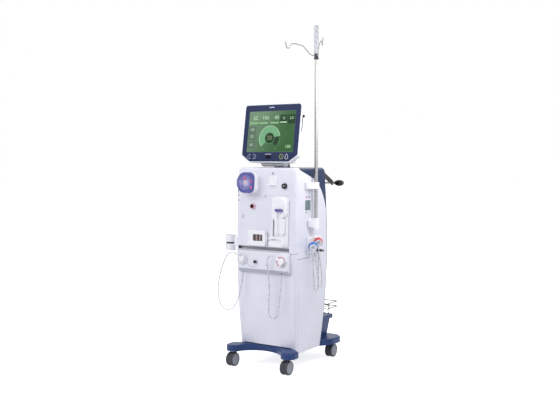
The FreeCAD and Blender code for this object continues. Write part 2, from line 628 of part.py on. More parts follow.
def fitting_pockets():
    grow = 2 * SEAT
    holes = [placed(pad(0, 0, CARD_W + grow, CARD_H + grow, 6 + SEAT, -12, 20), front_frame(CARD_X, CARD_Z)),
             placed(cylinder(EYE_RADIUS + SEAT, V(0, 0, -12), V(0, 0, 20)), front_frame(EYE_X, EYE_Z))]
    for x, z, turn in LINE_CLIPS:
        hole = pad(0, 0, LINE_CLIP_W + grow, LINE_CLIP_H + grow, 4 + SEAT, -12, 20)
        hole.rotate(V(0, 0, 0), Z_AXIS, turn)
        holes.append(placed(hole, front_frame(x, z)))
    return holes


# Blood pump

PUMP = front_frame(PUMP_X, PUMP_Z)


def pump_outline(grow):
    """A round housing squared off towards its lower corner."""
    r = PUMP_RADIUS + grow
    return [(-r, -r, r - 4), (r, -r, r * 0.55), (r, r, r * 0.55), (-r, r, r - 4)]


def pump_housing():
    depth = PUMP_DEPTH
    block = rounded_top(prism(pump_outline(0), -3, depth), depth, 4)
    raceway = cylinder(RACEWAY_RADIUS, V(0, 0, depth - RACEWAY_DEPTH), V(0, 0, depth + 5))
    entry = box(-PUMP_RADIUS - 9, 0, -12, 12, depth - 18, depth + 5)
    shaft = cylinder(8 + RUNNING, V(0, 0, -10), V(0, 0, depth))
    hinge_gap = box(-PUMP_RADIUS - 1, -PUMP_RADIUS + 12, -30, 30, depth - 10, depth + 5)
    block = block.cut(fused([raceway, entry, shaft, hinge_gap]))
    return placed(block, PUMP)


def pump_rotor():
    """Hub on its shaft and two arms with the spindles of the rollers."""
    floor = PUMP_DEPTH - RACEWAY_DEPTH
    r, foot = ROTOR_RADIUS, floor + SEAT
    top = floor + 26
    hub = turned([(0, -6), (8, -6), (8, foot), (r, foot), (r, top - 4), (r - 3, top), (0, top)])
    reach = ROLLER_RING + 2
    pieces = [hub]
    for low, high in ((foot, floor + 4), (floor + 21, floor + 25)):
        pieces.append(pad(0, 0, 2 * reach, 16, 7, low, high))
    for x in (ROLLER_RING, -ROLLER_RING):
        pieces.append(cylinder(2.5, V(x, 0, floor + 3), V(x, 0, floor + 22)))
    return placed(fused(pieces), PUMP)


def pump_rollers():
    floor = PUMP_DEPTH - RACEWAY_DEPTH
    bore = 2.5 + RUNNING
    roller = turned([(bore, 4.5), (ROLLER_RADIUS - 1, 4.5), (ROLLER_RADIUS, 6), (ROLLER_RADIUS, 19),
                     (ROLLER_RADIUS - 1, 20.5), (bore, 20.5)])
    return group([placed(aimed(roller, V(s * ROLLER_RING, 0, floor), Z_AXIS), PUMP) for s in (1, -1)])


PUMP_HINGE_X = -(PUMP_RADIUS + 3.5)
PUMP_HINGE_H = PUMP_DEPTH + 3.5


def pump_cover():
    """Clear domed cover, hinged on the left, with a round window for the rotor's crank."""
    low = PUMP_DEPTH + SEAT
    left, r = 1.5 - PUMP_RADIUS, PUMP_RADIUS + 1
    corners = [(left, -r, r - 8), (r, -r, r * 0.55), (r, r, r * 0.55), (left, r, r - 8)]
    dome = rounded_top(prism(corners, low, low + COVER_THICK), low + COVER_THICK, 5)
    hollow = cylinder(RACEWAY_RADIUS + 2, V(0, 0, low - 1), V(0, 0, low + COVER_THICK - 3))
    window = cylinder(13, V(0, 0, low), V(0, 0, low + 20))
    knuckle = cylinder(3, V(PUMP_HINGE_X, -13, PUMP_HINGE_H), V(PUMP_HINGE_X, 13, PUMP_HINGE_H))
    leaf = box(PUMP_HINGE_X, -PUMP_RADIUS + 10, -13, 13, low + 0.5, low + 4)
    bore = cylinder(1.5 + RUNNING, V(PUMP_HINGE_X, -20, PUMP_HINGE_H), V(PUMP_HINGE_X, 20, PUMP_HINGE_H))
    body = dome.cut(fused([hollow, window])).fuse([knuckle, leaf]).cut(bore)
    catch = pad(PUMP_RADIUS - 6, 0, 8, 18, 3, low + COVER_THICK - 1, low + COVER_THICK + 4)
    return placed(body.fuse(catch).removeSplitter(), PUMP)


def pump_hinge():
    """Two ears and the pin that the cover turns on, part of the housing."""
    x, h = PUMP_HINGE_X, PUMP_HINGE_H
    pieces = [cylinder(1.5, V(x, -19, h), V(x, 19, h))]
    for s in (1, -1):
        y0, y1 = (13 + SEAT, 19) if s > 0 else (-19, -13 - SEAT)
        pieces += [cylinder(3, V(x, y0, h), V(x, y1, h)), box(x - 3, x + 3, y0, y1, PUMP_DEPTH - 16, h),
                   box(x - 3, -PUMP_RADIUS + 14, y0, y1, PUMP_DEPTH - 16, PUMP_DEPTH - 10)]
    return placed(fused(pieces), PUMP)


def pump_motor():
    low = -3 - SEAT
    body = turned([(0, -96), (22, -96), (24, -94), (24, -30), (28, -28), (28, low), (11, low), (11, low - 4),
                   (0, low - 4)])
    return placed(body, PUMP)


# Line detector

DETECTOR = front_frame(DETECTOR_X, DETECTOR_Z)
DETECTOR_HINGE_X = DETECTOR_W / 2 + 2.6
DETECTOR_HINGE_H = DETECTOR_DEPTH + 3.4


def detector_housing():
    block = pad(0, 0, DETECTOR_W, DETECTOR_H, 12, -3, DETECTOR_DEPTH)
    channel = pad(-6, 0, 12, DETECTOR_H + 10, 3, DETECTOR_DEPTH - 6, DETECTOR_DEPTH + 4)
    seat = pad(18, 0, 36, 30, 4, DETECTOR_DEPTH - 4, DETECTOR_DEPTH + 4)
    x, h = DETECTOR_HINGE_X, DETECTOR_HINGE_H
    ears = []
    for s in (1, -1):
        y0, y1 = (20 + SEAT, 28) if s > 0 else (-28, -20 - SEAT)
        ears += [cylinder(2.6, V(x, y0, h), V(x, y1, h)), box(DETECTOR_W / 2 - 1, x + 2.6, y0, y1, 0, h)]
    pin = cylinder(1.3, V(x, -28, h), V(x, 28, h))
    return placed(fused([block.cut(fused([channel, seat]))] + ears + [pin]), DETECTOR)


def detector_door():
    """Door with a recessed window frame, hinged on its right edge."""
    low = DETECTOR_DEPTH + SEAT
    door = pad(-1, 0, DETECTOR_W - 2, DETECTOR_H - 2, 11, low, low + DETECTOR_DOOR)
    door = rounded_top(door, low + DETECTOR_DOOR, 4)
    opening = pad(7, 3, 63, 36, 6, low - 1, low + 30)
    x, h = DETECTOR_HINGE_X, DETECTOR_HINGE_H
    side = DETECTOR_W / 2
    knuckle = cylinder(2.6, V(x, -20, h), V(x, 20, h)).fuse(box(side - 8, x, -20, 20, low + 0.6, low + 4.5))
    slits = [box(side - 3, side + 6, y - 4.8, y + 4.8, low - 1, low + 7) for y in (24.2, -24.2)]
    bore = cylinder(1.3 + RUNNING, V(x, -20, h), V(x, 20, h))
    frame = door.cut(fused([opening] + slits)).fuse(knuckle).cut(bore).removeSplitter()
    pane = pad(7, 3, 63 - 2 * SEAT, 36 - 2 * SEAT, 6, low + 3, low + 6)
    grip = pad(-DETECTOR_W / 2 + 9, 0, 5, 26, 2.4, low + DETECTOR_DOOR - 1, low + DETECTOR_DOOR + 2.5)
    return group([placed(frame.fuse(grip).removeSplitter(), DETECTOR), placed(pane, DETECTOR)])


# Syringe pump

SYRINGE = front_frame(SYRINGE_X, SYRINGE_Z)
CARRIAGE_SLOT_X = -40.0
BARREL_X, BARREL_RADIUS = 6.0, 15.0
CLIP_Y, CARRIAGE_Y = 62.0, -85.0


def syringe_pump():
    """Back plate with a slot, domed head, open cradle, drive end, and the barrel clip across the head."""
    half = SYRINGE_H / 2
    front = SYRINGE_PLATE
    plate = pad(0, 0, SYRINGE_W, SYRINGE_H, 26, -3, front)
    slot = pad(CARRIAGE_SLOT_X, -41, 7, 110, 3.4, -4, front + 5)
    head = rounded_top(pad(8, half - 62, 80, 118, 38, front - 1, front + 17), front + 17, 10)
    cradle = pad(BARREL_X, -24, 56, 84, 8, front - 1, front + 14)
    drive = rounded_top(pad(-14, 20 - half, 98, 40, 19, SEAT, front + 16), front + 16, 9)
    trough = cylinder(BARREL_RADIUS, V(BARREL_X, -70, front + 21), V(BARREL_X, CLIP_Y, front + 21))
    body = fused([plate, head, cradle, drive]).cut(fused([slot, trough]))
    clip = pad(BARREL_X, CLIP_Y, 47, 15, 5, front + 17, front + 25)
    clip = clip.cut(cylinder(9, V(BARREL_X, CLIP_Y - 20, front + 15), V(BARREL_X, CLIP_Y + 20, front + 15)))
    return group([placed(body, SYRINGE), placed(clip, SYRINGE)])


def syringe_carriage():
    """Plunger carriage: a stem through the slot, a release lever and an arm that pushes the plunger."""
    y, front = CARRIAGE_Y, SYRINGE_PLATE
    stem = box(CARRIAGE_SLOT_X - 3, CARRIAGE_SLOT_X + 3, y - 8, y + 8, -10, front + 1)
    foot = pad(CARRIAGE_SLOT_X, y, 20, 24, 3, -10, -3 - SEAT)
    block = pad(CARRIAGE_SLOT_X + 1, y, 18, 22, 5, front + SEAT, front + 24)
    rise = pad(CARRIAGE_SLOT_X + 1, y, 12, 7, 2, front + 20, front + 30)
    arm = pad(-12, y, 68, 9, 4, front + 27, front + 33)
    lever = pad(CARRIAGE_SLOT_X - 11, y - 4, 18, 8, 3.5, front + 12, front + 19)
    return placed(fused([stem, foot, block, rise, arm, lever]), SYRINGE)


def pressure_ports():
    """Round pressure ports: stepped collar with a luer nipple inside."""
    r, d = PORT_RADIUS, PORT_DEPTH
    collar = [(0, -3), (r, -3), (r, 3), (r - 2, 5), (r - 3, d), (r - 5, d), (r - 6, 4)]
    profile = collar + [(5, 4), (4, 9), (3, d + 3), (0, d + 3)]
    return {name: placed(turned(profile), front_frame(x, z))
            for name, (x, z) in zip(("pressure_port_left", "pressure_port_right"), PORTS)}


def front_pockets():
    """Holes in the front panel for all that is set into it."""
    grow = 2 * SEAT
    cuts = [placed(prism(pump_outline(SEAT), -12, 60), PUMP),
            placed(pad(0, 0, DETECTOR_W + grow, DETECTOR_H + grow, 12 + SEAT, -12, 40), DETECTOR),
            placed(pad(0, 0, SYRINGE_W + grow, SYRINGE_H + grow, 26 + SEAT, -12, 40), SYRINGE)]
    for x, z in PORTS:
        cuts.append(placed(cylinder(PORT_RADIUS + SEAT, V(0, 0, -12), V(0, 0, 40)), front_frame(x, z)))
    return cuts + fitting_pockets()


# Holder on the left side

def holder_bracket():
    plate_x = -BODY_HALF_WIDTH - SEAT
    low, high = CLIP_LEVELS[0][0] + 14, CLIP_LEVELS[1][1] - 2
    plate = box(plate_x - 6, plate_x, HOLDER_Y - 17, HOLDER_Y + 17, low, high)
    plate = plate.makeFillet(4, [e for e in plate.Edges if e.Length < 7])
    ears = []
    for z0, z1 in ((low, low + 9), (high - 9, high)):
        ears.append(cylinder(10, V(HOLDER_PIVOT_X, HOLDER_Y, z0), V(HOLDER_PIVOT_X, HOLDER_Y, z1)))
        ears.append(box(HOLDER_PIVOT_X, plate_x - 3, HOLDER_Y - 10, HOLDER_Y + 10, z0, z1))
    pin = cylinder(4, V(HOLDER_PIVOT_X, HOLDER_Y, low), V(HOLDER_PIVOT_X, HOLDER_Y, high))
    return fused([plate, pin] + ears)


def clip_ring(z0, z1, outer, inner):
    """C-shaped ring whose mouth faces forward and out."""
    centre = V(CLIP_X, HOLDER_Y, z0)
    ring = Part.makeCylinder(outer, z1 - z0, centre).cut(Part.makeCylinder(inner, z1 - z0, centre))
    mouth = box(-CLIP_MOUTH / 2, CLIP_MOUTH / 2, -60, 0, z0 - 1, z1 + 1)
    mouth.rotate(V(0, 0, 0), Z_AXIS, -45)
    mouth.translate(V(CLIP_X, HOLDER_Y, 0))
    return ring.cut(mouth)


def holder_arm():
    """Arm on its pivot with two spring clips, and the rubber pads between them."""
    low, high = CLIP_LEVELS[0][0] + 23 + SEAT, CLIP_LEVELS[1][1] - 11 - SEAT
    barrel = cylinder(10, V(HOLDER_PIVOT_X, HOLDER_Y, low), V(HOLDER_PIVOT_X, HOLDER_Y, high))
    link = box(CLIP_X + CLIP_INNER + 1, HOLDER_PIVOT_X, HOLDER_Y - 7, HOLDER_Y + 7, low, high)
    rings = [clip_ring(z0, z1, CLIP_OUTER, CLIP_INNER) for z0, z1 in CLIP_LEVELS]
    hole = cylinder(4 + RUNNING, V(HOLDER_PIVOT_X, HOLDER_Y, low - 1), V(HOLDER_PIVOT_X, HOLDER_Y, high + 1))
    gap = clip_ring(CLIP_LEVELS[0][1], CLIP_LEVELS[1][0], CLIP_OUTER - 1, CLIP_INNER + 1)
    arm = fused([barrel, link] + rings).cut(hole)
    return group([arm, gap.cut(link)])


# Couplings on the right side

COUPLING_AIM = V(0.50, -0.80, -0.33).normalize()
COUPLING_STEP = V(0, 56, 20)


def coupling_block():
    """Moulded block on the side panel, with a boss for each coupling and a black filter fitting."""
    face = BODY_HALF_WIDTH + SEAT
    front = face + BLOCK_THICK
    block = box(face, front, BLOCK_FRONT, BLOCK_REAR, BLOCK_LOW, BLOCK_HIGH)
    block = block.makeFillet(6, [e for e in block.Edges if abs(e.CenterOfMass.x - face) > 5])
    for i in range(2):
        centre = COUPLING_CENTRE + COUPLING_STEP * i
        boss = cylinder(16, centre, centre + COUPLING_AIM * 14)
        root = centre + COUPLING_AIM * 3
        web = cylinder(10, V(face + 2, root.y, root.z), root)
        block = block.fuse([boss.common(box(face, 300, -100, 200, 500, 800)), web])
    fitting = turned([(0, 0), (9, 0), (9, 8), (6, 10), (6, 20), (8, 22), (8, 27), (0, 27)])
    fitting = aimed(fitting, V(front, 36, 637), X_AXIS)
    return group([block.removeSplitter(), fitting])


def coupling(index):
    """Quick coupling: grip ring round a white nozzle, with a stub that the hose pushes onto."""
    centre = COUPLING_CENTRE + COUPLING_STEP * index
    base = centre + COUPLING_AIM * (14 + SEAT)
    outer, inner, length = COUPLING_OUTER, COUPLING_INNER, COUPLING_LENGTH
    grip = [(0, 0), (outer - 4, 0), (outer, 4), (outer, 12), (outer - 2, 14), (outer - 2, 18), (outer, 20)]
    mouth = [(outer, length - 3), (outer - 3, length), (inner, length), (inner, length - 9), (0, length - 9)]
    return aimed(turned(grip + mouth), base, COUPLING_AIM)


def side_button():
    """Push button in the right side panel."""
    r = BUTTON_RADIUS
    body = turned([(0, 0), (r + 2, 0), (r + 2, 2), (r, 2), (r, 14), (r - 1.5, 15), (0, 15)])
    return aimed(body, V(BODY_HALF_WIDTH + BUTTON_PROUD - 15, BUTTON_Y, BUTTON_Z), X_AXIS)


def button_guide():
    """Hole through the panel and the sleeve behind it that carries the button."""
    r, face = BUTTON_RADIUS + RUNNING, BODY_HALF_WIDTH
    low = face - WALL - 4
    y, z = BUTTON_Y, BUTTON_Z
    sleeve = cylinder(r + 4, V(low, y, z), V(face - 1, y, z))
    return sleeve, cylinder(r, V(low - 1, y, z), V(face + 5, y, z))


def coupling_point(index, reach):
    """Point on a coupling's axis, measured from the floor of its mouth."""
    floor = 14 + SEAT + COUPLING_LENGTH - 9
    return COUPLING_CENTRE + COUPLING_STEP * index + COUPLING_AIM * (floor + reach)


# Infusion pole

def pole_brackets():
    """Two moulded arms on the side panel that hold the pole; the lower one is a wedge."""
    face = BODY_HALF_WIDTH + SEAT
    reach, back = POLE_X + 16, 13.0
    arms = []
    for low, high, front in BRACKETS:
        plan = [(face, front, 6), (face + 22, front + 16, 12), (reach - 6, -30, 12), (reach, -14, 8),
                (reach, back, 9), (face, back, 0)]
        arm = rounded_top(prism(plan, low, high), high, 3)
        start, end = V(POLE_X, POLE_Y, max(low - 1, POLE_BOTTOM)), V(POLE_X, POLE_Y, high + 1)
        arms.append(arm.cut(cylinder(POLE_OUTER + RUNNING, start, end)))
    low, high, front = BRACKETS[1]
    wedge = [(front - 1, high - 38, 0), (-20, low, 6), (back + 1, low, 0), (back + 1, high + 1, 0),
             (-18, high + 1, 0), (front - 1, high - 16, 0)]
    arms[1] = arms[1].common(slab_x(wedge, face - 1, reach + 10))
    return group(arms)


def pole_tube():
    low, high = POLE_BOTTOM + SEAT, POLE_SPLIT
    tube = cylinder(POLE_OUTER, V(POLE_X, POLE_Y, low), V(POLE_X, POLE_Y, high))
    return tube.cut(cylinder(ROD_OUTER + RUNNING, V(POLE_X, POLE_Y, low + 10), V(POLE_X, POLE_Y, high + 1)))


def pole_rod():
    axis = V(POLE_X, POLE_Y, 0)
    whole = cylinder(ROD_OUTER, axis + Z_AXIS * ROD_BOTTOM, axis + Z_AXIS * (POLE_TOP - 8))
    low, high = axis + Z_AXIS * (ROD_BOTTOM - 1), axis + Z_AXIS * (POLE_TOP - 20)
    return whole.cut(cylinder(ROD_OUTER - 2, low, high))


def iv_hooks():
    """Collar on the rod with two bent wire hooks."""
    axis = V(POLE_X, POLE_Y, 0)
    height = COLLAR_TOP - COLLAR_BOTTOM
    ring = turned([(ROD_OUTER, 0), (COLLAR_RADIUS - 2, 0), (COLLAR_RADIUS, 3), (COLLAR_RADIUS, 11),
                   (COLLAR_RADIUS - 3, 14), (COLLAR_RADIUS - 3, height - 8), (COLLAR_RADIUS - 1, height - 6),
                   (COLLAR_RADIUS - 1, height), (ROD_OUTER, height)])
    pieces = [aimed(ring, axis + Z_AXIS * COLLAR_BOTTOM, Z_AXIS)]
    clear = cylinder(ROD_OUTER, axis + Z_AXIS * 1600, axis + Z_AXIS * 1800)
    for angle in HOOK_ANGLES:
        c, s = math.cos(math.radians(angle)), math.sin(math.radians(angle))
        corners = [(POLE_X + r * c, POLE_Y + r * s, z, bend) for r, z, bend in HOOK_PROFILE]
        pieces.append(rod(corners, HOOK_WIRE).cut(clear))
        tip = V(*corners[-1][:3])
        pieces.append(Part.makeSphere(HOOK_WIRE + 1.2, tip))
    return fused(pieces)


def pole_sleeve():
    """Ribbed sleeve on the end of the rod."""
    base = COLLAR_TOP + SEAT
    height = POLE_TOP - base
    r, bore = SLEEVE_RADIUS, ROD_OUTER
    profile = [(bore, 0)]
    count = int(height // SLEEVE_PITCH)
    for i in range(count):
        z = i * SLEEVE_PITCH
        end = z + SLEEVE_PITCH
        profile += [(r - 3, z), (r - 3, z + 4), (r - 1.5, z + 5.5)]
        profile += [(r, z + 9), (r, end - 5), (r - 1.5, end - 1.5)]
    profile += [(r - 3, count * SLEEVE_PITCH), (r - 4, height - 2), (r - 8, height)]
    profile += [(0, height), (0, height - 8), (bore, height - 8)]
    return aimed(turned(profile), V(POLE_X, POLE_Y, base), Z_AXIS)


# Monitor

def monitor_corners(grow):
    """Front outline: rounded top corners and chamfered bottom corners."""
    w = SCREEN_W / 2 + BEZEL_SIDE + grow
    top, low = SCREEN_H / 2 + BEZEL_TOP + grow, -SCREEN_H / 2 - BEZEL_FOOT - grow
    cw, ch = CHAMFER_W + grow * 0.3, CHAMFER_H + grow * 0.3
    right = [(w - cw, low, 12), (w, low + ch, 12), (w, top, 14)]
    return right + [(-x, y, r) for x, y, r in reversed(right)]


def monitor_bezel():
    block = rounded_top(prism(monitor_corners(0), BEZEL_BACK, 2), 2, 1.8)
    opening = pad(0, 0, SCREEN_W, SCREEN_H, 3, BEZEL_BACK - 1, 10)
    reader = pad(0, -SCREEN_H / 2 - 27, 36, 18, 2, 0.6, 10)
    return placed(block.cut(fused([opening, reader])), MONITOR)


def monitor_screen():
    gap = 2 * SEAT
    return placed(pad(0, 0, SCREEN_W - gap, SCREEN_H - gap, 3, BEZEL_BACK, 0), MONITOR)


def monitor_shell():
    """Rear housing: a rim round the bezel, then a taper to a smaller back with cooling slots."""
    rim = prism(monitor_corners(RIM), RIM_BACK, -2)
    w, top, low = SCREEN_W / 2 - 14, SCREEN_H / 2 - 2, -SCREEN_H / 2 - 8
    right = [(w - 44, low, 14), (w, low + 32, 14), (w, top, 18)]
    back = outline(right + [(-x, y, r) for x, y, r in reversed(right)], SHELL_BACK)
    front = outline(monitor_corners(RIM - 0.01), RIM_BACK)
    taper = Part.makeLoft([front, back], True, True)
    seat = prism(monitor_corners(SEAT), BEZEL_BACK, 10)
    deep = outline(rectangle(0, -2, SCREEN_W - 68, SCREEN_H - 38, 10), SHELL_BACK + WALL)
    wide = outline(rectangle(0, 0, SCREEN_W - 16, SCREEN_H - 16, 10), BEZEL_BACK + 1)
    cavity = Part.makeLoft([deep, wide], True, True)
    slots = [pad(x, 62, 5, 50, 2.4, SHELL_BACK - 1, SHELL_BACK + 6) for x in range(-80, 81, 16)]
    well_x = SCREEN_W / 2 + BEZEL_SIDE + RIM
    key = cylinder(POWER_KEY_RADIUS + SEAT, V(well_x - 10, KEY_Y, KEY_DEPTH), V(well_x + 5, KEY_Y, KEY_DEPTH))
    body = rim.fuse(taper).removeSplitter().cut(fused([seat, key, cavity] + slots))
    return placed(body, MONITOR)


def power_key():
    face = SCREEN_W / 2 + BEZEL_SIDE + RIM
    profile = [(0, 0), (POWER_KEY_RADIUS, 0), (POWER_KEY_RADIUS, 12), (POWER_KEY_RADIUS - 1.5, 14), (0, 14)]
    return placed(aimed(turned(profile), V(face - 10 + 2.2, KEY_Y, KEY_DEPTH), X_AXIS), MONITOR)


def tilt_bracket():
    """Plate on the monitor's back, arm and barrel with the tilt pin through both lugs of the neck."""
    plate = placed(pad(0, -58, 110, 120, 8, SHELL_BACK - SEAT - 6, SHELL_BACK - SEAT), MONITOR)
    barrel = cylinder(13, V(-58, TILT_Y, TILT_Z), V(58, TILT_Y, TILT_Z))
    pin = cylinder(TILT_PIN, V(-78, TILT_Y, TILT_Z), V(78, TILT_Y, TILT_Z))
    arm = slab_x([(TILT_Y - 9, TILT_Z - 9, 2), (TILT_Y + 10, TILT_Z + 5, 3), (-40, TILT_Z + 82, 8),
                  (-80, TILT_Z + 82, 0), (-90, TILT_Z + 14, 0)], -48, 48)
    keep = placed(box(-300, 300, -400, 400, SHELL_BACK - SEAT, 100), MONITOR)
    return fused([plate, barrel, pin, arm]).cut(keep)


def monitor_neck():
    """White foot that turns on the pedestal: a raked skirt in front, a lug each side of the tilt bracket."""
    low, high = PEDESTAL_TOP + SEAT, 1131.0
    skirt = BODY_TOP + 5
    raked = [(-57, skirt, 0), (-97, skirt, 4), (-106, 1107, 4), (-84, high, 6)]
    side = slab_x(raked + [(46, high, 4), (46, low, 2), (-57, low, 0)], -100, 100)
    plan = prism([(-92, -115, 12), (92, -115, 12), (70, 46, 30), (-70, 46, 30)], skirt - 1, high + 1)
    ahead = [V(-68, -140, skirt), V(68, -140, skirt), V(89, -140, high), V(-89, -140, high)]
    wedge = Part.Face(Part.makePolygon(ahead + ahead[:1])).extrude(V(0, 300, 0))
    lugs = [slab_x([(TILT_Y - 16, high - 2, 0), (TILT_Y + 20, high - 2, 0), (TILT_Y + 13, TILT_Z + 13, 12),
                    (TILT_Y - 13, TILT_Z + 13, 12)], x0, x0 + 14) for x0 in (-74, 60)]
    hole = cylinder(TILT_PIN + RUNNING, V(-90, TILT_Y, TILT_Z), V(90, TILT_Y, TILT_Z))
    spigot = cylinder(14, V(0, PAN_Y, PEDESTAL_TOP - 8), V(0, PAN_Y, low + 1))
    return fused([side.common(plan).common(wedge), spigot] + lugs).cut(hole)


def monitor_pedestal():
    low = BODY_TOP + SEAT
    h = PEDESTAL_TOP - low
    r = PEDESTAL_RADIUS
    bore = 14 + RUNNING
    body = turned([(bore, 0), (r, 0), (r, 3), (r - 3, 6), (r - 3, h - 2), (r - 5, h), (bore, h)])
    return aimed(body, V(0, PAN_Y, low), Z_AXIS)


# Handle, rack and stand at the back

def handle_straps():
    """Two bent steel straps on curved feet, bolted to the rear cover, that hold the cross bar."""
    plates = body_block(-SEAT - 4).cut(body_block(-SEAT))
    clear = body_block(-SEAT)
    hole = cylinder(HANDLE_RADIUS, V(-300, HANDLE_Y, HANDLE_Z), V(300, HANDLE_Y, HANDLE_Z))
    start, end = V(0, 133, 1062), V(0, HANDLE_Y, HANDLE_Z)
    run = (end - start).normalize()
    tip = end + run * STRAP_WIDTH / 2
    across = V(0, -run.z, run.y) * (STRAP_WIDTH / 2)
    corners = [(start - across, 0), (tip - across, 12), (tip + across, 12), (start + across, 0)]
    straps = []
    for x in (-STRAP_X, STRAP_X):
        bar = slab_x([(p.y, p.z, r) for p, r in corners], x - STRAP_THICK / 2, x + STRAP_THICK / 2)
        foot = plates.common(box(x - 12, x + 12, 100, 200, 1018, 1072))
        bolt = cylinder(4, V(x, 120, STRAP_BOLT_Z), V(x, rear_y(STRAP_BOLT_Z) + 6, STRAP_BOLT_Z))
        straps.append(fused([bar, foot, bolt]).cut(clear).cut(hole))
    return group(straps)


def handle_bar():
    """Chrome cross bar with a moulded grip on each end."""
    bar = cylinder(HANDLE_RADIUS, V(-GRIP_START, HANDLE_Y, HANDLE_Z), V(GRIP_START, HANDLE_Y, HANDLE_Z))
    r = GRIP_RADIUS
    length = GRIP_END - GRIP_START
    arc = Part.Arc(V(9, 0, 0), V(r, 0, length * 0.55), V(10, 0, length)).toShape()
    edges = [Part.makeLine(V(0, 0, 0), V(9, 0, 0)), arc, Part.makeLine(V(10, 0, length), V(0, 0, length)),
             Part.makeLine(V(0, 0, length), V(0, 0, 0))]
    grip = Part.Face(Part.Wire(edges)).revolve(V(0, 0, 0), Z_AXIS, 360)
    grips = [aimed(grip, V(s * GRIP_START, HANDLE_Y, HANDLE_Z), X_AXIS * s) for s in (1, -1)]
    return group([bar] + grips)


def wire_rack():
    """Welded wire rack on the stand: two open rails, thinner cross wires between them and four posts."""
    x, front, rear = RACK_HALF_WIDTH, RACK_FRONT, RACK_REAR
    low, high = RACK_LEVELS
    cross, start = RACK_WIRE * 0.8, front + 6
    pieces = []
    for z in RACK_LEVELS:
        rail = [(-x, front, z, 0), (-x, rear, z, 14), (x, rear, z, 14), (x, front, z, 0)]
        pieces.append(rod(rail, RACK_WIRE))
        pieces.append(cylinder(cross, V(-x, start, z), V(x, start, z)))
    for side in (-1, 1):
        pieces.append(cylinder(cross - 0.3, V(side * x, start + 20, low), V(side * x, start + 20, high)))
        px = side * RACK_POST_X
        pieces.append(cylinder(cross, V(px, start, low), V(px, rear, low)))
        for py in (start + 8, RACK_POST_REAR):
            pieces.append(cylinder(cross - 0.3, V(px, py, STAND_TOP), V(px, py, low)))
            pieces.append(cylinder(5, V(px, py, STAND_TOP), V(px, py, STAND_TOP + 3)))
    return fused(pieces)


def canister_stand():
    """Tapered moulded stand with a rolled rim and a raised platform, hollow from below."""
    x, y0, y1 = STAND_HALF_WIDTH, STAND_FRONT, STAND_REAR
    rim_low = STAND_TOP - STAND_RIM

    def section(z, shrink, rear_shrink):
        half, rear = x - shrink, y1 - rear_shrink
        return outline([(-half, y0, 12), (half, y0, 12), (half, rear, 20), (-half, rear, 20)], z)

    body = Part.makeLoft([section(BASE_TOP, 15, 44), section(rim_low + 1, 7, 20)], True, True)
    cavity = Part.makeLoft([section(BASE_TOP - 0.1, 19, 48), section(rim_low, 11, 24)], True, True)
    cavity = cavity.cut(box(-300, 300, 0, y0 + 4, 0, 400))
    cap = rounded_top(Part.Face(section(rim_low, 0, 0)).extrude(V(0, 0, STAND_RIM)), STAND_TOP, 6)
    depth = y1 - y0 - 24
    middle, width = (y0 + y1) / 2, 2 * PLATFORM_HALF_WIDTH
    platform = pad(0, middle, width, depth, 8, STAND_TOP - 2, STAND_TOP + PLATFORM_RISE)
    return fused([body.cut(cavity), cap, platform])


# Inside

def chassis():
    """Square tube posts with three trays and a top ring."""
    top = BODY_TOP - WALL - 6
    inner = POST - 2 * POST_WALL
    pieces = []
    h = POST / 2
    for x in (-POST_X, POST_X):
        for y in (POST_FRONT_Y, POST_REAR_Y):
            tube = pad(x, y, POST, POST, 0, BASE_TOP, top)
            pieces.append(tube.cut(pad(x, y, inner, inner, 0, BASE_TOP - 1, top + 1)))
    for z in TRAY_LEVELS:
        pieces.append(box(-POST_X - h, POST_X + h, POST_FRONT_Y - h, POST_REAR_Y + h, z, z + TRAY_THICK))
    ring = box(-POST_X - h, POST_X + h, POST_FRONT_Y - h, POST_REAR_Y + h, top - POST, top)
    hole = box(-POST_X + h, POST_X - h, POST_FRONT_Y + h, POST_REAR_Y - h, 0, top + 1)
    pieces.append(ring.cut(hole))
    room = body_block(WALL + SEAT)
    front, rear = POST_FRONT_Y + h, POST_REAR_Y - h
    for z in TAB_LEVELS:
        for x0, x1 in ((-POST_X - h, -POST_X + h), (POST_X - h, POST_X + h)):
            pieces.append(box(x0, x1, -300, front, z, z + TAB_HEIGHT).common(room))
            pieces.append(box(x0, x1, rear, 300, z, z + TAB_HEIGHT).common(room))
        for y0, y1 in ((POST_FRONT_Y - h, front), (rear, POST_REAR_Y + h)):
            pieces.append(box(-300, -POST_X, y0, y1, z, z + TAB_HEIGHT).common(room))
            pieces.append(box(POST_X, 300, y0, y1, z, z + TAB_HEIGHT).common(room))
    return fused(pieces)


def hydraulic_unit():
    """Manifold with two balance chambers, the heater tank and the dialysate pump, on the lowest tray."""
    floor = TRAY_LEVELS[0] + TRAY_THICK
    manifold = pad(0, 0, 240, 46, 6, floor, floor + 190)
    chambers = [cylinder(44, V(x, -20, floor + 120), V(x, -78, floor + 120)) for x in (-60, 60)]
    manifold = fused([manifold] + chambers)
    tank = turned([(0, 0), (34, 0), (36, 3), (36, 196), (30, 206), (10, 208), (10, 220), (0, 220)])
    tank = aimed(tank, V(-64, -62, TRAY_LEVELS[1] + TRAY_THICK), Z_AXIS)
    motor = turned([(0, 0), (30, 0), (30, 12), (26, 14), (26, 96), (20, 100), (0, 100)])
    motor = aimed(motor, V(70, -40, TRAY_LEVELS[1] + TRAY_THICK), Z_AXIS)
    return group([manifold, tank, motor])


def electronics():
    """Power supply and the rack of control boards."""
    floor = TRAY_LEVELS[2] + TRAY_THICK
    supply = pad(-50, 10, 130, 90, 4, floor, floor + 110)
    rack = [pad(64, 10, 90, 96, 3, floor, floor + 6)]
    rack += [box(30 + i * 22, 34 + i * 22, -34, 54, floor + 5, floor + 170) for i in range(4)]
    return group([supply, fused(rack)])


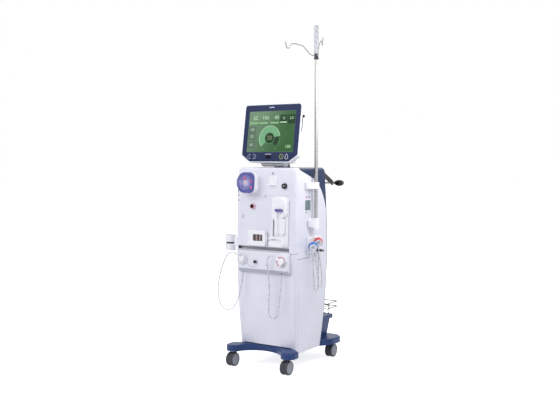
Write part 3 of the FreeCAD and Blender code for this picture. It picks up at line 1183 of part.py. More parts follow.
def build():
    """Every node of the machine, in the machine frame."""
    nodes = {"base_cover": base_cover(), "base_frame": base_frame()}
    for name, (x, y) in caster_places().items():
        nodes["caster_fork_" + name] = caster_fork(x, y)
        nodes["caster_wheels_" + name] = caster_wheels(x, y)
    nodes.update(body_shells())
    pockets = fused(front_pockets())
    for name in ("front_panel", "side_panel_left"):
        nodes[name] = nodes[name].cut(pockets)
    sleeve, hole = button_guide()
    nodes["side_panel_right"] = nodes["side_panel_right"].fuse(sleeve).cut(hole)
    nodes["drip_tray"] = drip_tray()
    nodes["concentrate_shelf"] = shelf()
    nodes["connector_left"] = connector(-1)
    nodes["connector_right"] = connector(1)
    nodes["front_fittings"] = fittings()
    nodes["pump_housing"] = pump_housing().fuse(pump_hinge()).removeSplitter()
    nodes["pump_rotor"] = pump_rotor()
    nodes["pump_rollers"] = pump_rollers()
    nodes["pump_cover"] = pump_cover()
    nodes["pump_motor"] = pump_motor()
    nodes["line_detector"] = detector_housing()
    nodes["line_detector_door"] = detector_door()
    nodes["syringe_pump"] = syringe_pump()
    nodes["syringe_carriage"] = syringe_carriage()
    nodes.update(pressure_ports())
    nodes["holder_bracket"] = holder_bracket()
    nodes["holder_arm"] = holder_arm()
    nodes["coupling_block"] = coupling_block()
    nodes["coupling_blue"] = coupling(0)
    nodes["coupling_red"] = coupling(1)
    nodes["side_button"] = side_button()
    nodes["pole_brackets"] = pole_brackets()
    nodes["pole_tube"] = pole_tube()
    nodes["pole_rod"] = pole_rod()
    nodes["iv_hooks"] = iv_hooks()
    nodes["pole_sleeve"] = pole_sleeve()
    nodes["monitor_bezel"] = monitor_bezel()
    nodes["monitor_screen"] = monitor_screen()
    nodes["monitor_shell"] = monitor_shell()
    nodes["power_key"] = power_key()
    nodes["tilt_bracket"] = tilt_bracket()
    nodes["monitor_neck"] = monitor_neck()
    nodes["monitor_pedestal"] = monitor_pedestal()
    nodes["handle_straps"] = handle_straps()
    nodes["handle_bar"] = handle_bar()
    nodes["wire_rack"] = wire_rack()
    nodes["canister_stand"] = canister_stand()
    nodes["chassis"] = chassis()
    nodes["hydraulic_unit"] = hydraulic_unit()
    nodes["electronics"] = electronics()
    return nodes


def hose_routes():
    """Corners of every hose, from the mouth of its nozzle on, with its diameter."""
    routes = {}
    for name, side, rest in (("hose_left", -1, HOSE_LEFT), ("hose_front", 1, HOSE_FRONT)):
        start, aim = nozzle(side)
        lead = [start + aim * NOZZLE_LENGTH, start + aim * (NOZZLE_LENGTH + NOZZLE_RUN)]
        routes[name] = (lead + [V(*p) for p in rest], HOSE)
    for name, index, rest in (("hose_blue", 0, HOSE_BLUE), ("hose_red", 1, HOSE_RED)):
        lead = [coupling_point(index, 0), coupling_point(index, 30)]
        routes[name] = (lead + [V(BODY_HALF_WIDTH + x, y, z) for x, y, z in rest], SIDE_HOSE)
    return routes


def bottom_centre(shapes):
    """Middle of the floor under the shapes' common box, read from their facets."""
    points = [p for shape in shapes for p in shape.tessellate(0.2)[0]]
    xs, ys, zs = zip(*points)
    return V((min(xs) + max(xs)) / 2, (min(ys) + max(ys)) / 2, min(zs))


def main():
    os.makedirs("parts", exist_ok=True)
    nodes = build()
    origin = bottom_centre(nodes.values())
    for name, (route, diameter) in hose_routes().items():
        nodes[name] = hose(route, diameter)
        print(name, "smallest bend radius", round(min(hose_radii(route)[1:-1]), 1))
    for name, shape in nodes.items():
        shape.translate(-origin)
        shape.exportStep("parts/" + name + ".step")
    print(len(nodes), "nodes, origin", [round(c, 3) for c in origin])


if __name__ == "__main__":
    main()
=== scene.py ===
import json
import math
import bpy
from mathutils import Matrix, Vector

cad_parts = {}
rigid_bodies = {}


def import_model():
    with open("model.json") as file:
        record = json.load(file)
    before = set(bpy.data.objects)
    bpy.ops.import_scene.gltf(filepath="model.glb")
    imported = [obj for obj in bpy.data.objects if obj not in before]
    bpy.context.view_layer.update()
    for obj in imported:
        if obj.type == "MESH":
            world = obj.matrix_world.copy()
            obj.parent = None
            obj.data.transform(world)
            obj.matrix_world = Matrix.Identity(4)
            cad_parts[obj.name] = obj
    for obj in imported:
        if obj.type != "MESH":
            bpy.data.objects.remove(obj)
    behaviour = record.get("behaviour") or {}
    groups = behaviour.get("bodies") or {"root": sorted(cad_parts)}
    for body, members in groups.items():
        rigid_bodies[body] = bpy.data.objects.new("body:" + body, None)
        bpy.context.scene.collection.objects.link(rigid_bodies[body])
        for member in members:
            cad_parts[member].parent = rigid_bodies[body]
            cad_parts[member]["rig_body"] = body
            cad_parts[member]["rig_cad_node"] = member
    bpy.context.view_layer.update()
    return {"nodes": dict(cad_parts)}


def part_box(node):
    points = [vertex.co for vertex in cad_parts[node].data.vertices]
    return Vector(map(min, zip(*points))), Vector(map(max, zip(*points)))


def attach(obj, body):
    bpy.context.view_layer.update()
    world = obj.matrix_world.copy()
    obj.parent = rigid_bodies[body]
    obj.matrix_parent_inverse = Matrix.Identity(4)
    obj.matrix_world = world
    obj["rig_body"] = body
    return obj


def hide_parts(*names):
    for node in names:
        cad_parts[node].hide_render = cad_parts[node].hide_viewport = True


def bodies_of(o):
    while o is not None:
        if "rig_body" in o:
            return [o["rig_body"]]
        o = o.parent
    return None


bl_info = {
    "name": "Dialysis machine",
    "version": (1, 0, 0),
    "blender": (4, 5, 0),
    "location": "View3D > Sidebar > Dialysis",
    "description": "Finishes a mobile dialysis machine: covers, monitor, pumps, hoses, pole and casters",
    "category": "Object",
}

import bpy
from mathutils import Euler, Matrix, Vector

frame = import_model()

MM = 0.001

# The machine's own coordinates, in millimetres: X to the right along the front, Y to the back, Z up, with the
# origin between the casters. The base cover is symmetric in X and its foremost point lies at BASE_FRONT.
BASE_FRONT = -262.0
SIDE_X = 190.0
BASE_LOW, BASE_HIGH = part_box("base_cover")
ORIGIN = Vector(((BASE_LOW.x + BASE_HIGH.x) / 2, BASE_LOW.y - BASE_FRONT * MM, 0))

FRONT_PEAK_Z, FRONT_PEAK_Y, FRONT_RADIUS = 620.0, -180.0, 4866.0
MONITOR_CENTRE, MONITOR_LEAN = (0, -119, 1287), 8.95
DIAL_CENTRE = (-6.0, -36.0)
PRINT_LOW, PRINT_HIGH, DIGIT_LOW = 0.12, 0.35, 0.6
SYMBOL_WIDTH, SYMBOL_LOW, SYMBOL_HIGH = 2.6, 1.9, 2.3
SYMBOL_ROW = -138.0
SHELF_FRONT_Y, SHELF_KNEE_Z, SHELF_LEAN = -208.0, 545.0, 10.0
SHELF_FOOT_IN, SHELF_FOOT_HIGH = 17.0, 26.0
SPOUT_MIDDLE, SPOUT_REACH = (-45.0, -203.0, 580.0), 24.0
PUMP_PLACE, RACEWAY_RADIUS, HUB_RADIUS, COVER_FRONT = (-106.0, 1006.0), 42.0, 17.0, 51.3
# Left of the first X the pump cover is painted white as a painted highlight; then the crank's turn in degrees
COVER_HIGHLIGHT_X, CRANK_TURN = -54.6, 30
SCREW_X, SCREW_LEVELS = -182.0, (911.0, 939.0)
SIDE_STRAIGHT_Z, SIDE_RADIUS = 650.0, 11700.0
SEAM_LOW, SEAM_HIGH, SEAM_FRONT_Y, SEAM_REAR_Y = 602.0, 633.0, -147.0, -26.0
SEAM_HALF, SEAM_DEPTHS = 1.3, (0.3, 2.4)
SIDE_PLATE, EDGE_STRIP = (-46.0, 888.0), (-184.0, 968.0)
# The detector's window runs between two X; its bands are a sine wave of such a rate and start.
DETECTOR_WINDOW, WINDOW_RATE, WINDOW_START = (-66.5, -3.5), 17.0, 2.25
PORT_PLACES = {"pressure_port_left": (-81.0, 880.0), "pressure_port_right": (119.0, 993.0)}
PORT_RINGS = (12.2, 5.0)
SYRINGE_PLACE, CARD_PLACE, EYE_PLACE = (98.0, 802.0), (43.0, 1017.0), (42.0, 1060.0)
CLIP_PAD = (38.1, 47.9)
POLE_X, COLLAR_OUTER, SLEEVE_CORE = 215.0, 13.5, 12.8
GRIP_START = 190.3
TYRE_THICK, CAP_SINK = 6.5, 1.2

# Camera, from the photograph's vanishing lines
CAMERA_PLACE = (2434.8, -3788.4, 1145.5)
CAMERA_YAW, CAMERA_PITCH = 32.93, 3.01
CAMERA_LENS = 51.9

# Floor, sky and lamps: place, size and power
FLOOR_COLOUR, FLOOR_LIFT = (0.80, 0.80, 0.81), 0.75
SKY_COLOUR, SKY_STRENGTH = (0.93, 0.95, 1.0), 0.66
LAMPS = {"key_lamp": ((-1600, -3200, 3200), 2.6, 72), "side_lamp": ((820, -60, 1480), 0.6, 5.8),
         "back_lamp": ((-900, 2800, 2600), 2.4, 26)}

HOSE_WIDTH, SIDE_HOSE_WIDTH = 6.5, 6.0
NOZZLE_START = 10.0
NOZZLE_REACH = (36.0, 60.0)
LEFT_NOZZLE, LEFT_AIM = (-132.0, 590.0), (-0.72, -0.22, 0.62)
RIGHT_NOZZLE, RIGHT_AIM = (123.0, 590.0), (-0.80, -0.25, 0.55)
COUPLING_PLACES = ((214, -29, 676), (214, 27, 696))
COUPLING_AIM = (0.50, -0.80, -0.33)
COUPLING_REACH = (35.3, 65.3)
COUPLING_FLOOR, COUPLING_MOUTH = 35.0, 19.5
CONNECTOR_RIM, RIM_THICK, RIM_LOW = 25.5, 1.0, 8.8
HOSE_LEFT = ((-198, -226, 627), (-222, -227, 607), (-242, -227, 572), (-259, -226, 530), (-274, -225, 484),
             (-284, -224, 436), (-287, -223, 386), (-277, -222, 342), (-253, -221, 312), (-220, -220, 300),
             (-188, -219, 313), (-165, -217, 343), (-149, -214, 386), (-138, -210, 434), (-131, -206, 480),
             (-128, -203, 519))
HOSE_FRONT = ((54, -228, 617), (47, -229, 591), (51, -229, 554), (57, -228, 508), (58, -224, 456),
              (54, -220, 404), (48, -215, 353), (45, -212, 301), (62, -211, 284), (84, -210, 284),
              (101, -209, 301), (107, -208, 345), (113, -208, 396), (119, -207, 444), (122.5, -205, 486),
              (123, -202, 519))
HOSE_BLUE = ((246, -83, 623), (239, -72, 582), (231, -57, 542), (228, -45, 502), (227, -38, 464),
             (226, -36, 432.5), (226, -23.5, 420), (226, -6, 420), (226, 6.5, 432.5), (225, 9, 464),
             (221, 12, 508), (214, 14, 550), (205, 15.5, 589), (197, 15, 624))
HOSE_RED = ((248, -29, 641), (247, -24, 600), (243, -18, 558), (238, -13.5, 518), (236, -9, 484),
            (235, -8, 451.5), (235, 4.5, 439), (234.5, 21.5, 439), (234, 34, 451.5), (231, 38, 484),
            (224, 45, 526), (207, 59, 580), (197, 61, 624))


def at(x, y, z):
    """A point of the machine, in the row frame."""
    return ORIGIN + Vector((x, y, z)) * MM


def moved(x, y, z=0.0):
    return Matrix.Translation(Vector((x, y, z)) * MM)


def aimed(x, y, z):
    """Turns local Z into a direction."""
    return Vector((x, y, z)).to_track_quat("Z", "Y").to_matrix().to_4x4()


def turned(degrees, axis="Z"):
    return Matrix.Rotation(math.radians(degrees), 4, axis)


def front_y(z):
    return FRONT_PEAK_Y + FRONT_RADIUS - math.sqrt(FRONT_RADIUS ** 2 - (z - FRONT_PEAK_Z) ** 2)


def leaning(x, y, z, lean):
    """Matrix of a surface that leans back: local X right, Y up the surface, Z out of it, in metres."""
    return Matrix.Translation(at(x, y, z)) @ Euler((math.radians(90 - lean), 0, 0)).to_matrix().to_4x4()


def on_front(x, z):
    lean = math.degrees(math.asin((z - FRONT_PEAK_Z) / FRONT_RADIUS))
    return leaning(x, front_y(z), z, lean)


def on_shelf(x, z):
    y = SHELF_FRONT_Y + (z - SHELF_KNEE_Z) * math.tan(math.radians(SHELF_LEAN))
    return leaning(x, y, z, SHELF_LEAN)


def on_shelf_foot(x, z):
    """The shelf's lower face, which falls back to the door."""
    y = SHELF_FRONT_Y + SHELF_FOOT_IN * (SHELF_KNEE_Z - z) / SHELF_FOOT_HIGH
    return Matrix.Translation(at(x, y, z)) @ aimed(0, -SHELF_FOOT_HIGH, -SHELF_FOOT_IN)


ON_MONITOR = leaning(*MONITOR_CENTRE, MONITOR_LEAN)
FACING_RIGHT = Euler((math.radians(90), 0, math.radians(90))).to_matrix().to_4x4()


def on_side(y, z):
    """The right side panel: local X to the back, Y up, Z out."""
    return Matrix.Translation(at(SIDE_X, y, z)) @ FACING_RIGHT


# Shader maths

class Socket:
    """One output of a material's node tree, used in expressions."""

    def __init__(self, tree, link):
        self.tree, self.link = tree, link

    def node(self, kind, settings=None, output=0, **values):
        made = self.tree.nodes.new("ShaderNode" + kind)
        for key, value in (settings or {}).items():
            setattr(made, key, value)
        feed(made, **values)
        return Socket(self.tree, made.outputs[output])

    def maths(self, operation, first, second=0.0):
        return self.node("Math", {"operation": operation}, i0=first, i1=second)

    def __add__(self, other):
        return self.maths("ADD", self, other)

    def __radd__(self, other):
        return self.maths("ADD", other, self)

    def __sub__(self, other):
        return self.maths("SUBTRACT", self, other)

    def __rsub__(self, other):
        return self.maths("SUBTRACT", other, self)

    def __mul__(self, other):
        return self.maths("MULTIPLY", self, other)

    def smooth(self, low, high):
        """0 below low, 1 above high, smooth between."""
        return self.node("MapRange", {"interpolation_type": "SMOOTHSTEP"}, Value=self, From_Min=low,
                         From_Max=high)

    def blend(self, first, second):
        """Colour mixed from first to second by this mask."""
        return self.node("Mix", {"data_type": "RGBA"}, output=2, i0=self, i6=first, i7=second)


def noise(place, scale, detail=3.0):
    return place.node("TexNoise", Vector=place, Scale=scale, Detail=detail, Roughness=0.55)


MATERIALS = {}


def finish_material(name, paint):
    """Makes a material once: paint gets the place on the piece and the shader, and sets its sockets."""
    if name in MATERIALS:
        return MATERIALS[name]
    material = bpy.data.materials.new(name)
    material.use_nodes = True
    tree = material.node_tree
    shader = tree.nodes["Principled BSDF"]
    place = Socket(tree, tree.nodes.new("ShaderNodeTexCoord").outputs["Object"])
    paint(place, shader)
    material.diffuse_color = tuple(shader.inputs["Base Color"].default_value)
    MATERIALS[name] = material
    return material


def feed(node, **values):
    """Sets a node's inputs, by name with _ for a space or by number as in i0, to values or other outputs."""
    for key, value in values.items():
        entry = node.inputs[int(key[1:]) if key[0] == "i" and key[1:].isdigit() else key.replace("_", " ")]
        if isinstance(value, Socket):
            node.id_data.links.new(value.link, entry)
        else:
            entry.default_value = (*value, 1.0) if entry.type == "RGBA" else value


def bump(place, height, depth, distance):
    return place.node("Bump", Strength=depth, Distance=distance, Height=height)


def moulded(name, colour, gloss=0.35, grain=0.12, coat=0.0, shade=0.94, shine=0.5):
    """Moulded plastic: fine spark texture, slow change of gloss, faint change of tone from the mould."""
    def paint(place, shader):
        slow = noise(place, 5.0, 2.0)
        darker = [c * shade for c in colour]
        feed(shader, Base_Color=slow.smooth(0.3, 0.7).blend(darker, colour),
             Roughness=gloss - 0.04 + noise(place, 22.0, 3.0) * 0.08,
             Normal=bump(place, noise(place, 900.0, 2.0), grain, 0.0002), Specular_IOR_Level=shine,
             Coat_Weight=coat, Coat_Roughness=0.12)
    return finish_material(name, paint)


def metal(name, colour, gloss=0.25, streak=(1.0, 1.0, 0.04)):
    """Drawn metal: streaks along one direction change its gloss."""
    def paint(place, shader):
        stretched = place.node("Mapping", Vector=place, Scale=streak)
        lines = noise(stretched, 1400.0, 2.0)
        cloud = noise(place, 12.0, 3.0)
        feed(shader, Base_Color=cloud.smooth(0.3, 0.7).blend([c * 0.88 for c in colour], colour),
             Metallic=1.0, Roughness=gloss - 0.05 + lines * 0.12, Normal=bump(place, lines, 0.08, 0.0001))
    return finish_material(name, paint)


def rubber(name, colour):
    """Rubber with a little dust in its pores."""
    def paint(place, shader):
        dust = noise(place, 70.0, 4.0).smooth(0.45, 0.75)
        feed(shader, Base_Color=dust.blend(colour, [min(1.0, c * 1.4 + 0.012) for c in colour]),
             Roughness=0.62 + dust * 0.18, Specular_IOR_Level=0.3,
             Normal=bump(place, noise(place, 1600.0, 2.0), 0.2, 0.0002))
    return finish_material(name, paint)


def glowing(name, colour, strength=1.0):
    """Lit print under glass, brightest in its middle tone."""
    def paint(place, shader):
        tone = noise(place, 60.0, 1.0).smooth(0.2, 0.8)
        feed(shader, Base_Color=[c * 0.08 for c in colour], Roughness=0.2, Specular_IOR_Level=0.08,
             Emission_Color=tone.blend([c * 0.93 for c in colour], colour),
             Emission_Strength=strength * bpy.context.scene.dialysis_screen.glow)
    return finish_material(name, paint)


WHITE = (0.77, 0.77, 0.86)
NAVY = (0.008, 0.020, 0.082)

# Plastics by name: colour, gloss, and what departs from the usual grain, coat, shade and shine
PLASTICS = {
    "trim_white": ((0.87, 0.87, 0.91), 0.32, {"coat": 0.15, "shade": 0.96}),
    # Grey of the shelf's curved line, also used as painted shade on the shelf's lower faces
    "grey_line_and_painted_shade": ((0.47, 0.48, 0.56), 0.42, {}),
    "tray_grey": ((0.56, 0.56, 0.62), 0.42, {}),
    "seam_grey": ((0.11, 0.11, 0.14), 0.5, {"shine": 0.2}),
    "strip_grey": ((0.13, 0.13, 0.14), 0.45, {"shine": 0.3}),
    # Dark grey of the painted shadow in the syringe carriage's slot
    "slot_shadow_grey": ((0.16, 0.16, 0.19), 0.45, {}),
    "base_navy_plastic": ((0.020, 0.050, 0.165), 0.36, {"shade": 0.88, "shine": 0.25}),
    "rear_navy_plastic": ((0.012, 0.027, 0.085), 0.38, {"shade": 0.85, "shine": 0.25}),
    "caster_grey": ((0.20, 0.22, 0.27), 0.42, {"shade": 0.88, "shine": 0.3}),
    "wheel_disc_grey": ((0.30, 0.32, 0.36), 0.40, {"shine": 0.3}),
    "charcoal_plastic": ((0.040, 0.042, 0.052), 0.45, {"shade": 0.8, "shine": 0.3}),
    "black_plastic": ((0.010, 0.010, 0.012), 0.30, {"coat": 0.15, "shade": 0.7, "shine": 0.3}),
    "black_paint": ((0.016, 0.016, 0.018), 0.34, {"grain": 0.2, "shade": 0.75, "shine": 0.35}),
    "reader_black": ((0.006, 0.006, 0.007), 0.4, {"shine": 0.05}),
    "plate_teal_grey": ((0.15, 0.21, 0.22), 0.35, {}),
    "mark_slate": ((0.10, 0.12, 0.19), 0.35, {}),
    "clip_violet": ((0.10, 0.10, 0.34), 0.28, {"coat": 0.2}),
    "rotor_lilac": ((0.66, 0.60, 0.80), 0.28, {"coat": 0.2}),
    "crank_pale": ((0.80, 0.70, 0.84), 0.3, {"coat": 0.2}),
    "port_pink": ((0.72, 0.46, 0.52), 0.32, {"coat": 0.2}),
    "ring_brown": ((0.16, 0.10, 0.09), 0.35, {}),
    "grip_blue": ((0.022, 0.19, 0.60), 0.3, {"coat": 0.2}),
    "grip_red": ((0.66, 0.025, 0.03), 0.3, {"coat": 0.2}),
    "sleeve_pale": ((0.62, 0.63, 0.66), 0.35, {"coat": 0.15}),
    "mark_red": ((0.52, 0.05, 0.14), 0.32, {"coat": 0.2}),
    "lock_red": ((0.20, 0.02, 0.04), 0.32, {"coat": 0.2}),
    "port_red": ((0.22, 0.02, 0.04), 0.32, {"coat": 0.2}),
    "guide_red": ((0.62, 0.07, 0.20), 0.32, {"coat": 0.2}),
    "ring_red": ((0.60, 0.10, 0.16), 0.32, {"coat": 0.2}),
}


# Tones of the picture on the screen
PICTURE = {"light_green": (0.165, 0.400, 0.210), "dark_green": (0.008, 0.042, 0.012),
           "edge": (0.46, 0.72, 0.48), "digit": (0.42, 0.62, 0.42), "dial_digit": (0.20, 0.24, 0.13),
           "bar": (0.27, 0.52, 0.24), "column": (0.115, 0.175, 0.135), "column_edge": (0.045, 0.085, 0.055),
           "corner": (0.028, 0.115, 0.024), "frame": (0.10, 0.155, 0.150)}


def picture(name):
    return glowing("picture_" + name, PICTURE[name])


def symbol_white():
    return glowing("symbol_white", (0.62, 0.66, 0.78), 0.9)


def plastic(name):
    colour, gloss, rest = PLASTICS[name]
    return moulded(name, colour, gloss, **rest)


def body_white():
    return moulded("body_white", tuple(bpy.context.scene.dialysis_covers.white), gloss=0.36, coat=0.15)


def navy():
    colour = tuple(bpy.context.scene.dialysis_covers.navy)
    return moulded("navy_plastic", colour, gloss=0.34, shade=0.85, shine=0.14)


def steel():
    return metal("pole_steel", (0.42, 0.42, 0.41), gloss=0.32)


def inner_steel():
    return metal("frame_steel", (0.35, 0.36, 0.38), gloss=0.45)


def hose_silicone():
    """Milky silicone, a little clearer in places."""
    def paint(place, shader):
        cloud = noise(place, 90.0, 2.0).smooth(0.3, 0.7)
        feed(shader, Base_Color=cloud.blend((0.62, 0.62, 0.66), (0.74, 0.74, 0.79)),
             Roughness=0.24 + cloud * 0.1, Transmission_Weight=0.25, Coat_Weight=0.3)
    return finish_material("hose_silicone", paint)


def clear_violet():
    """Tinted clear cover: thick and dark at its rim, thin and clearer over the raceway."""
    centre = on_front(*PUMP_PLACE) @ Vector((0, 0, COVER_FRONT * MM))

    def paint(place, shader):
        away = place.node("VectorMath", {"operation": "DISTANCE"}, output=1, i0=place, i1=tuple(centre))
        rim = away.smooth((RACEWAY_RADIUS - 8) * MM, (RACEWAY_RADIUS + 6) * MM)
        cloud = noise(place, 34.0, 3.0).smooth(0.25, 0.75)
        window = away.smooth(HUB_RADIUS * MM, (HUB_RADIUS + 4) * MM)
        tint = (rim * 0.8 + cloud * 0.2).blend((0.30, 0.29, 0.72), (0.055, 0.065, 0.32))
        feed(shader, Base_Color=tint, Roughness=0.10 + cloud * 0.08,
             Alpha=0.10 + window * 0.32 + rim * 0.44, Coat_Weight=0.3)
    return finish_material("clear_violet", paint)


def screen_glass():
    """Lit screen behind glass: greyer green at the upper left, darker green at the right."""
    low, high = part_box("monitor_screen")

    def paint(place, shader):
        x = place.node("SeparateXYZ", Vector=place)
        z = Socket(place.tree, x.link.node.outputs[2])
        across = (x - low.x) * (1.0 / (high.x - low.x))
        down = (high.z - z) * (1.0 / (high.z - low.z))
        wash = (across * 0.95 + down * 0.42).smooth(0.0, 1.05)
        base = wash.blend((0.190, 0.290, 0.195), (0.018, 0.095, 0.018))
        haze = noise(place, 16.0, 3.0).smooth(0.35, 0.7)
        feed(shader, Base_Color=(0.01, 0.02, 0.01),
             Emission_Color=(haze * 0.3).blend(base, (0.060, 0.145, 0.062)),
             Emission_Strength=bpy.context.scene.dialysis_screen.glow, Roughness=0.2,
             Specular_IOR_Level=0.08)
    return finish_material("screen_glass", paint)


# Making pieces

def deselect():
    if bpy.context.object and bpy.context.object.mode != "OBJECT":
        bpy.ops.object.mode_set(mode="OBJECT")
    bpy.ops.object.select_all(action="DESELECT")


def edit_all():
    """Goes into edit mode with the whole mesh chosen."""
    bpy.ops.object.mode_set(mode="EDIT")
    bpy.ops.mesh.select_all(action="SELECT")


def leave_outward():
    """Turns the whole mesh's faces outward and leaves edit mode."""
    bpy.ops.mesh.select_all(action="SELECT")
    bpy.ops.mesh.normals_make_consistent(inside=False)
    bpy.ops.object.mode_set(mode="OBJECT")


def take(obj):
    deselect()
    bpy.context.view_layer.objects.active = obj
    obj.select_set(True)
    return obj


def settle(obj, matrix):
    """Puts the object's place into its mesh and leaves it at the origin, unturned and unscaled."""
    take(obj)
    obj.matrix_world = matrix @ obj.matrix_world
    bpy.ops.object.transform_apply(location=True, rotation=True, scale=True)
    return obj


def coat(obj, material):
    """Adds a material, or the plastic of that name, after those that the piece has."""
    obj.data.materials.append(plastic(material) if isinstance(material, str) else material)


def dress(obj, material, body, replaced=(), angle=32.0):
    """Gives a finished mesh its name's data, shading, material and body."""
    take(obj)
    bpy.ops.object.shade_smooth_by_angle(angle=math.radians(angle))
    obj.data.name = obj.name
    obj.data.materials.clear()
    coat(obj, material)
    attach(obj, body)
    if replaced:
        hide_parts(*replaced)
    return obj


def fit(obj, place, material, body="machine"):
    """Puts a new piece in its place and dresses it."""
    settle(obj, place)
    return dress(obj, material, body)


def started(name, add, scale=(1, 1, 1), **settings):
    """A primitive with its place, turn and scale put into its mesh."""
    deselect()
    add(**settings)
    obj = bpy.context.object
    obj.name, obj.scale = name, scale
    bpy.ops.object.transform_apply(location=True, rotation=True, scale=True)
    return obj


def block(name, width, height, z0, z1, radius, edge=0.0, centre=(0.0, 0.0)):
    """Block with rounded upright corners and, where edge is given, rounded front edges, in millimetres."""
    obj = started(name, bpy.ops.mesh.primitive_cube_add, (width * MM, height * MM, (z1 - z0) * MM), size=1,
                  location=(centre[0] * MM, centre[1] * MM, (z0 + z1) / 2 * MM))
    bevel_edges(obj, lambda a, b: abs(a.z - b.z) > 1e-6, radius, 8)
    if edge:
        top = z1 * MM - 1e-6
        bevel_edges(obj, lambda a, b: a.z > top and b.z > top, edge, 3)
    return obj


def bevel_edges(obj, chosen, radius, segments):
    take(obj)
    bpy.ops.object.mode_set(mode="EDIT")
    bpy.ops.mesh.select_mode(type="EDGE")
    bpy.ops.mesh.select_all(action="DESELECT")
    bpy.ops.object.mode_set(mode="OBJECT")
    points = obj.data.vertices
    for edge in obj.data.edges:
        a, b = (points[i].co for i in edge.vertices)
        edge.select = bool(chosen(a, b))
    bpy.ops.object.mode_set(mode="EDIT")
    bpy.ops.mesh.bevel(offset=radius * MM, segments=segments, affect="EDGES")
    bpy.ops.object.mode_set(mode="OBJECT")


def stack(name, rings, sides=48):
    """Round piece about local Z: a filled circle drawn up through rings of (radius, height)."""
    radius, height = rings[0]
    obj = started(name, bpy.ops.mesh.primitive_circle_add, vertices=sides, radius=radius * MM,
                  fill_type="NGON", location=(0, 0, height * MM))
    edit_all()
    for following, level in rings[1:]:
        bpy.ops.mesh.extrude_region_move(TRANSFORM_OT_translate={"value": (0, 0, (level - height) * MM)})
        if following != radius:
            grow = following / radius
            bpy.ops.transform.resize(value=(grow, grow, 1))
        radius, height = following, level
    leave_outward()
    return obj


def ring(name, centre_radius, thickness, height, z0, sides=64):
    """Flat raised ring about local Z, made from a circle that is widened and drawn up."""
    inner, outer = centre_radius - thickness / 2, centre_radius + thickness / 2
    obj = started(name, bpy.ops.mesh.primitive_circle_add, vertices=sides, radius=inner * MM,
                  location=(0, 0, z0 * MM))
    edit_all()
    bpy.ops.mesh.extrude_edges_move()
    bpy.ops.transform.resize(value=(outer / inner, outer / inner, 1))
    bpy.ops.mesh.select_all(action="SELECT")
    bpy.ops.mesh.extrude_region_move(TRANSFORM_OT_translate={"value": (0, 0, height * MM)})
    leave_outward()
    return obj


def arc_band(name, radius, thickness, height, z0, start, sweep, steps=40):
    """Part of a flat raised ring, spun about local Z from a small plane, start and sweep in degrees."""
    obj = started(name, bpy.ops.mesh.primitive_plane_add, (thickness * MM, height * MM, 1), size=1,
                  location=(radius * MM, 0, (z0 + height / 2) * MM), rotation=(math.radians(90), 0, 0))
    edit_all()
    bpy.ops.mesh.spin(steps=steps, angle=math.radians(-sweep), center=(0, 0, 0), axis=(0, 0, 1))
    bpy.ops.mesh.select_all(action="SELECT")
    bpy.ops.mesh.remove_doubles(threshold=1e-6)
    leave_outward()
    return settle(obj, turned(start))


def join(name, pieces):
    take(pieces[0])
    for piece in pieces[1:]:
        piece.select_set(True)
    if len(pieces) > 1:
        bpy.ops.object.join()
    made = bpy.context.object
    made.name = name
    return made


def copied(node, name):
    """A copy of a CAD node with its triangles merged, to be finished in its place."""
    source = frame["nodes"][node]
    piece = source.copy()
    piece.data = source.data.copy()
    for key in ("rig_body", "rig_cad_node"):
        if key in piece:
            del piece[key]
    piece.parent = None
    piece.matrix_world = Matrix.Identity(4)
    bpy.context.scene.collection.objects.link(piece)
    piece.name = name
    take(piece)
    if piece.data.has_custom_normals:
        bpy.ops.mesh.customdata_custom_splitnormals_clear()
    edit_all()
    bpy.ops.mesh.remove_doubles(threshold=0.00001)
    bpy.ops.object.mode_set(mode="OBJECT")
    return piece


def body_of(node):
    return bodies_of(frame["nodes"][node])[0]


def finished(node, material, angle=32.0):
    """The CAD node itself, finished: its merged copy rides where the node does and stands for it."""
    return dress(copied(node, node + "_finish"), material, body_of(node), (node,), angle)


def white_pair(node, small, material, body="machine"):
    """Finishes a CAD node in trim white, and its smallest solid as a piece of its own in another material."""
    large = node + "_finish"
    take(copied(node, large))
    bpy.ops.mesh.separate(type="LOOSE")
    found = sorted(bpy.context.selected_objects, key=lambda piece: max(piece.dimensions))
    rest = join(large, found[1:])
    found[0].name, rest.name = small, large
    dress(rest, "trim_white", body, (node,))
    dress(found[0], material, body)


def paint_faces(obj, material, chosen):
    """Gives a second material to the faces whose centre is chosen."""
    coat(obj, material)
    index = len(obj.data.materials) - 1
    for face in obj.data.polygons:
        if chosen(face.center, face.normal):
            face.material_index = index


def paint_round(obj, material, centre, radius):
    """Gives a second material to the faces that lie round a point, within a radius in millimetres."""
    paint_faces(obj, material, lambda c, n: (c - centre).length < radius * MM)


def paint_core(obj, material, place, radius):
    """Gives a second material to the faces within a radius in millimetres of a place's local Z."""
    inward = place.inverted()
    paint_faces(obj, material, lambda c, n: (inward @ c).xy.length < radius * MM)


# Settings that a user would change

class CoverSettings(bpy.types.PropertyGroup):
    white: bpy.props.FloatVectorProperty(name="White", description="Colour of the covers", subtype="COLOR",
                                         default=WHITE)
    navy: bpy.props.FloatVectorProperty(name="Navy", description="Colour of the base and the monitor's front",
                                        subtype="COLOR", default=NAVY)


class HoseSettings(bpy.types.PropertyGroup):
    width: bpy.props.FloatProperty(name="Front hose", description="Outside diameter of the front hoses",
                                   default=HOSE_WIDTH * MM, unit="LENGTH")
    side_width: bpy.props.FloatProperty(name="Side hose", description="Outside diameter of the side hoses",
                                        default=SIDE_HOSE_WIDTH * MM, unit="LENGTH")


class ScreenSettings(bpy.types.PropertyGroup):
    glow: bpy.props.FloatProperty(name="Glow", description="How strongly the picture on the screen shines",
                                  default=1.0, min=0.0, max=3.0)


class Piece(bpy.types.Operator):
    """Base of the operators below. The nodes in white are finished in trim white and need nothing more."""
    bl_options = {"REGISTER", "UNDO"}
    white = ()

    def execute(self, context):
        for node in self.white:
            finished(node, "trim_white")
        self.make()
        return {"FINISHED"}


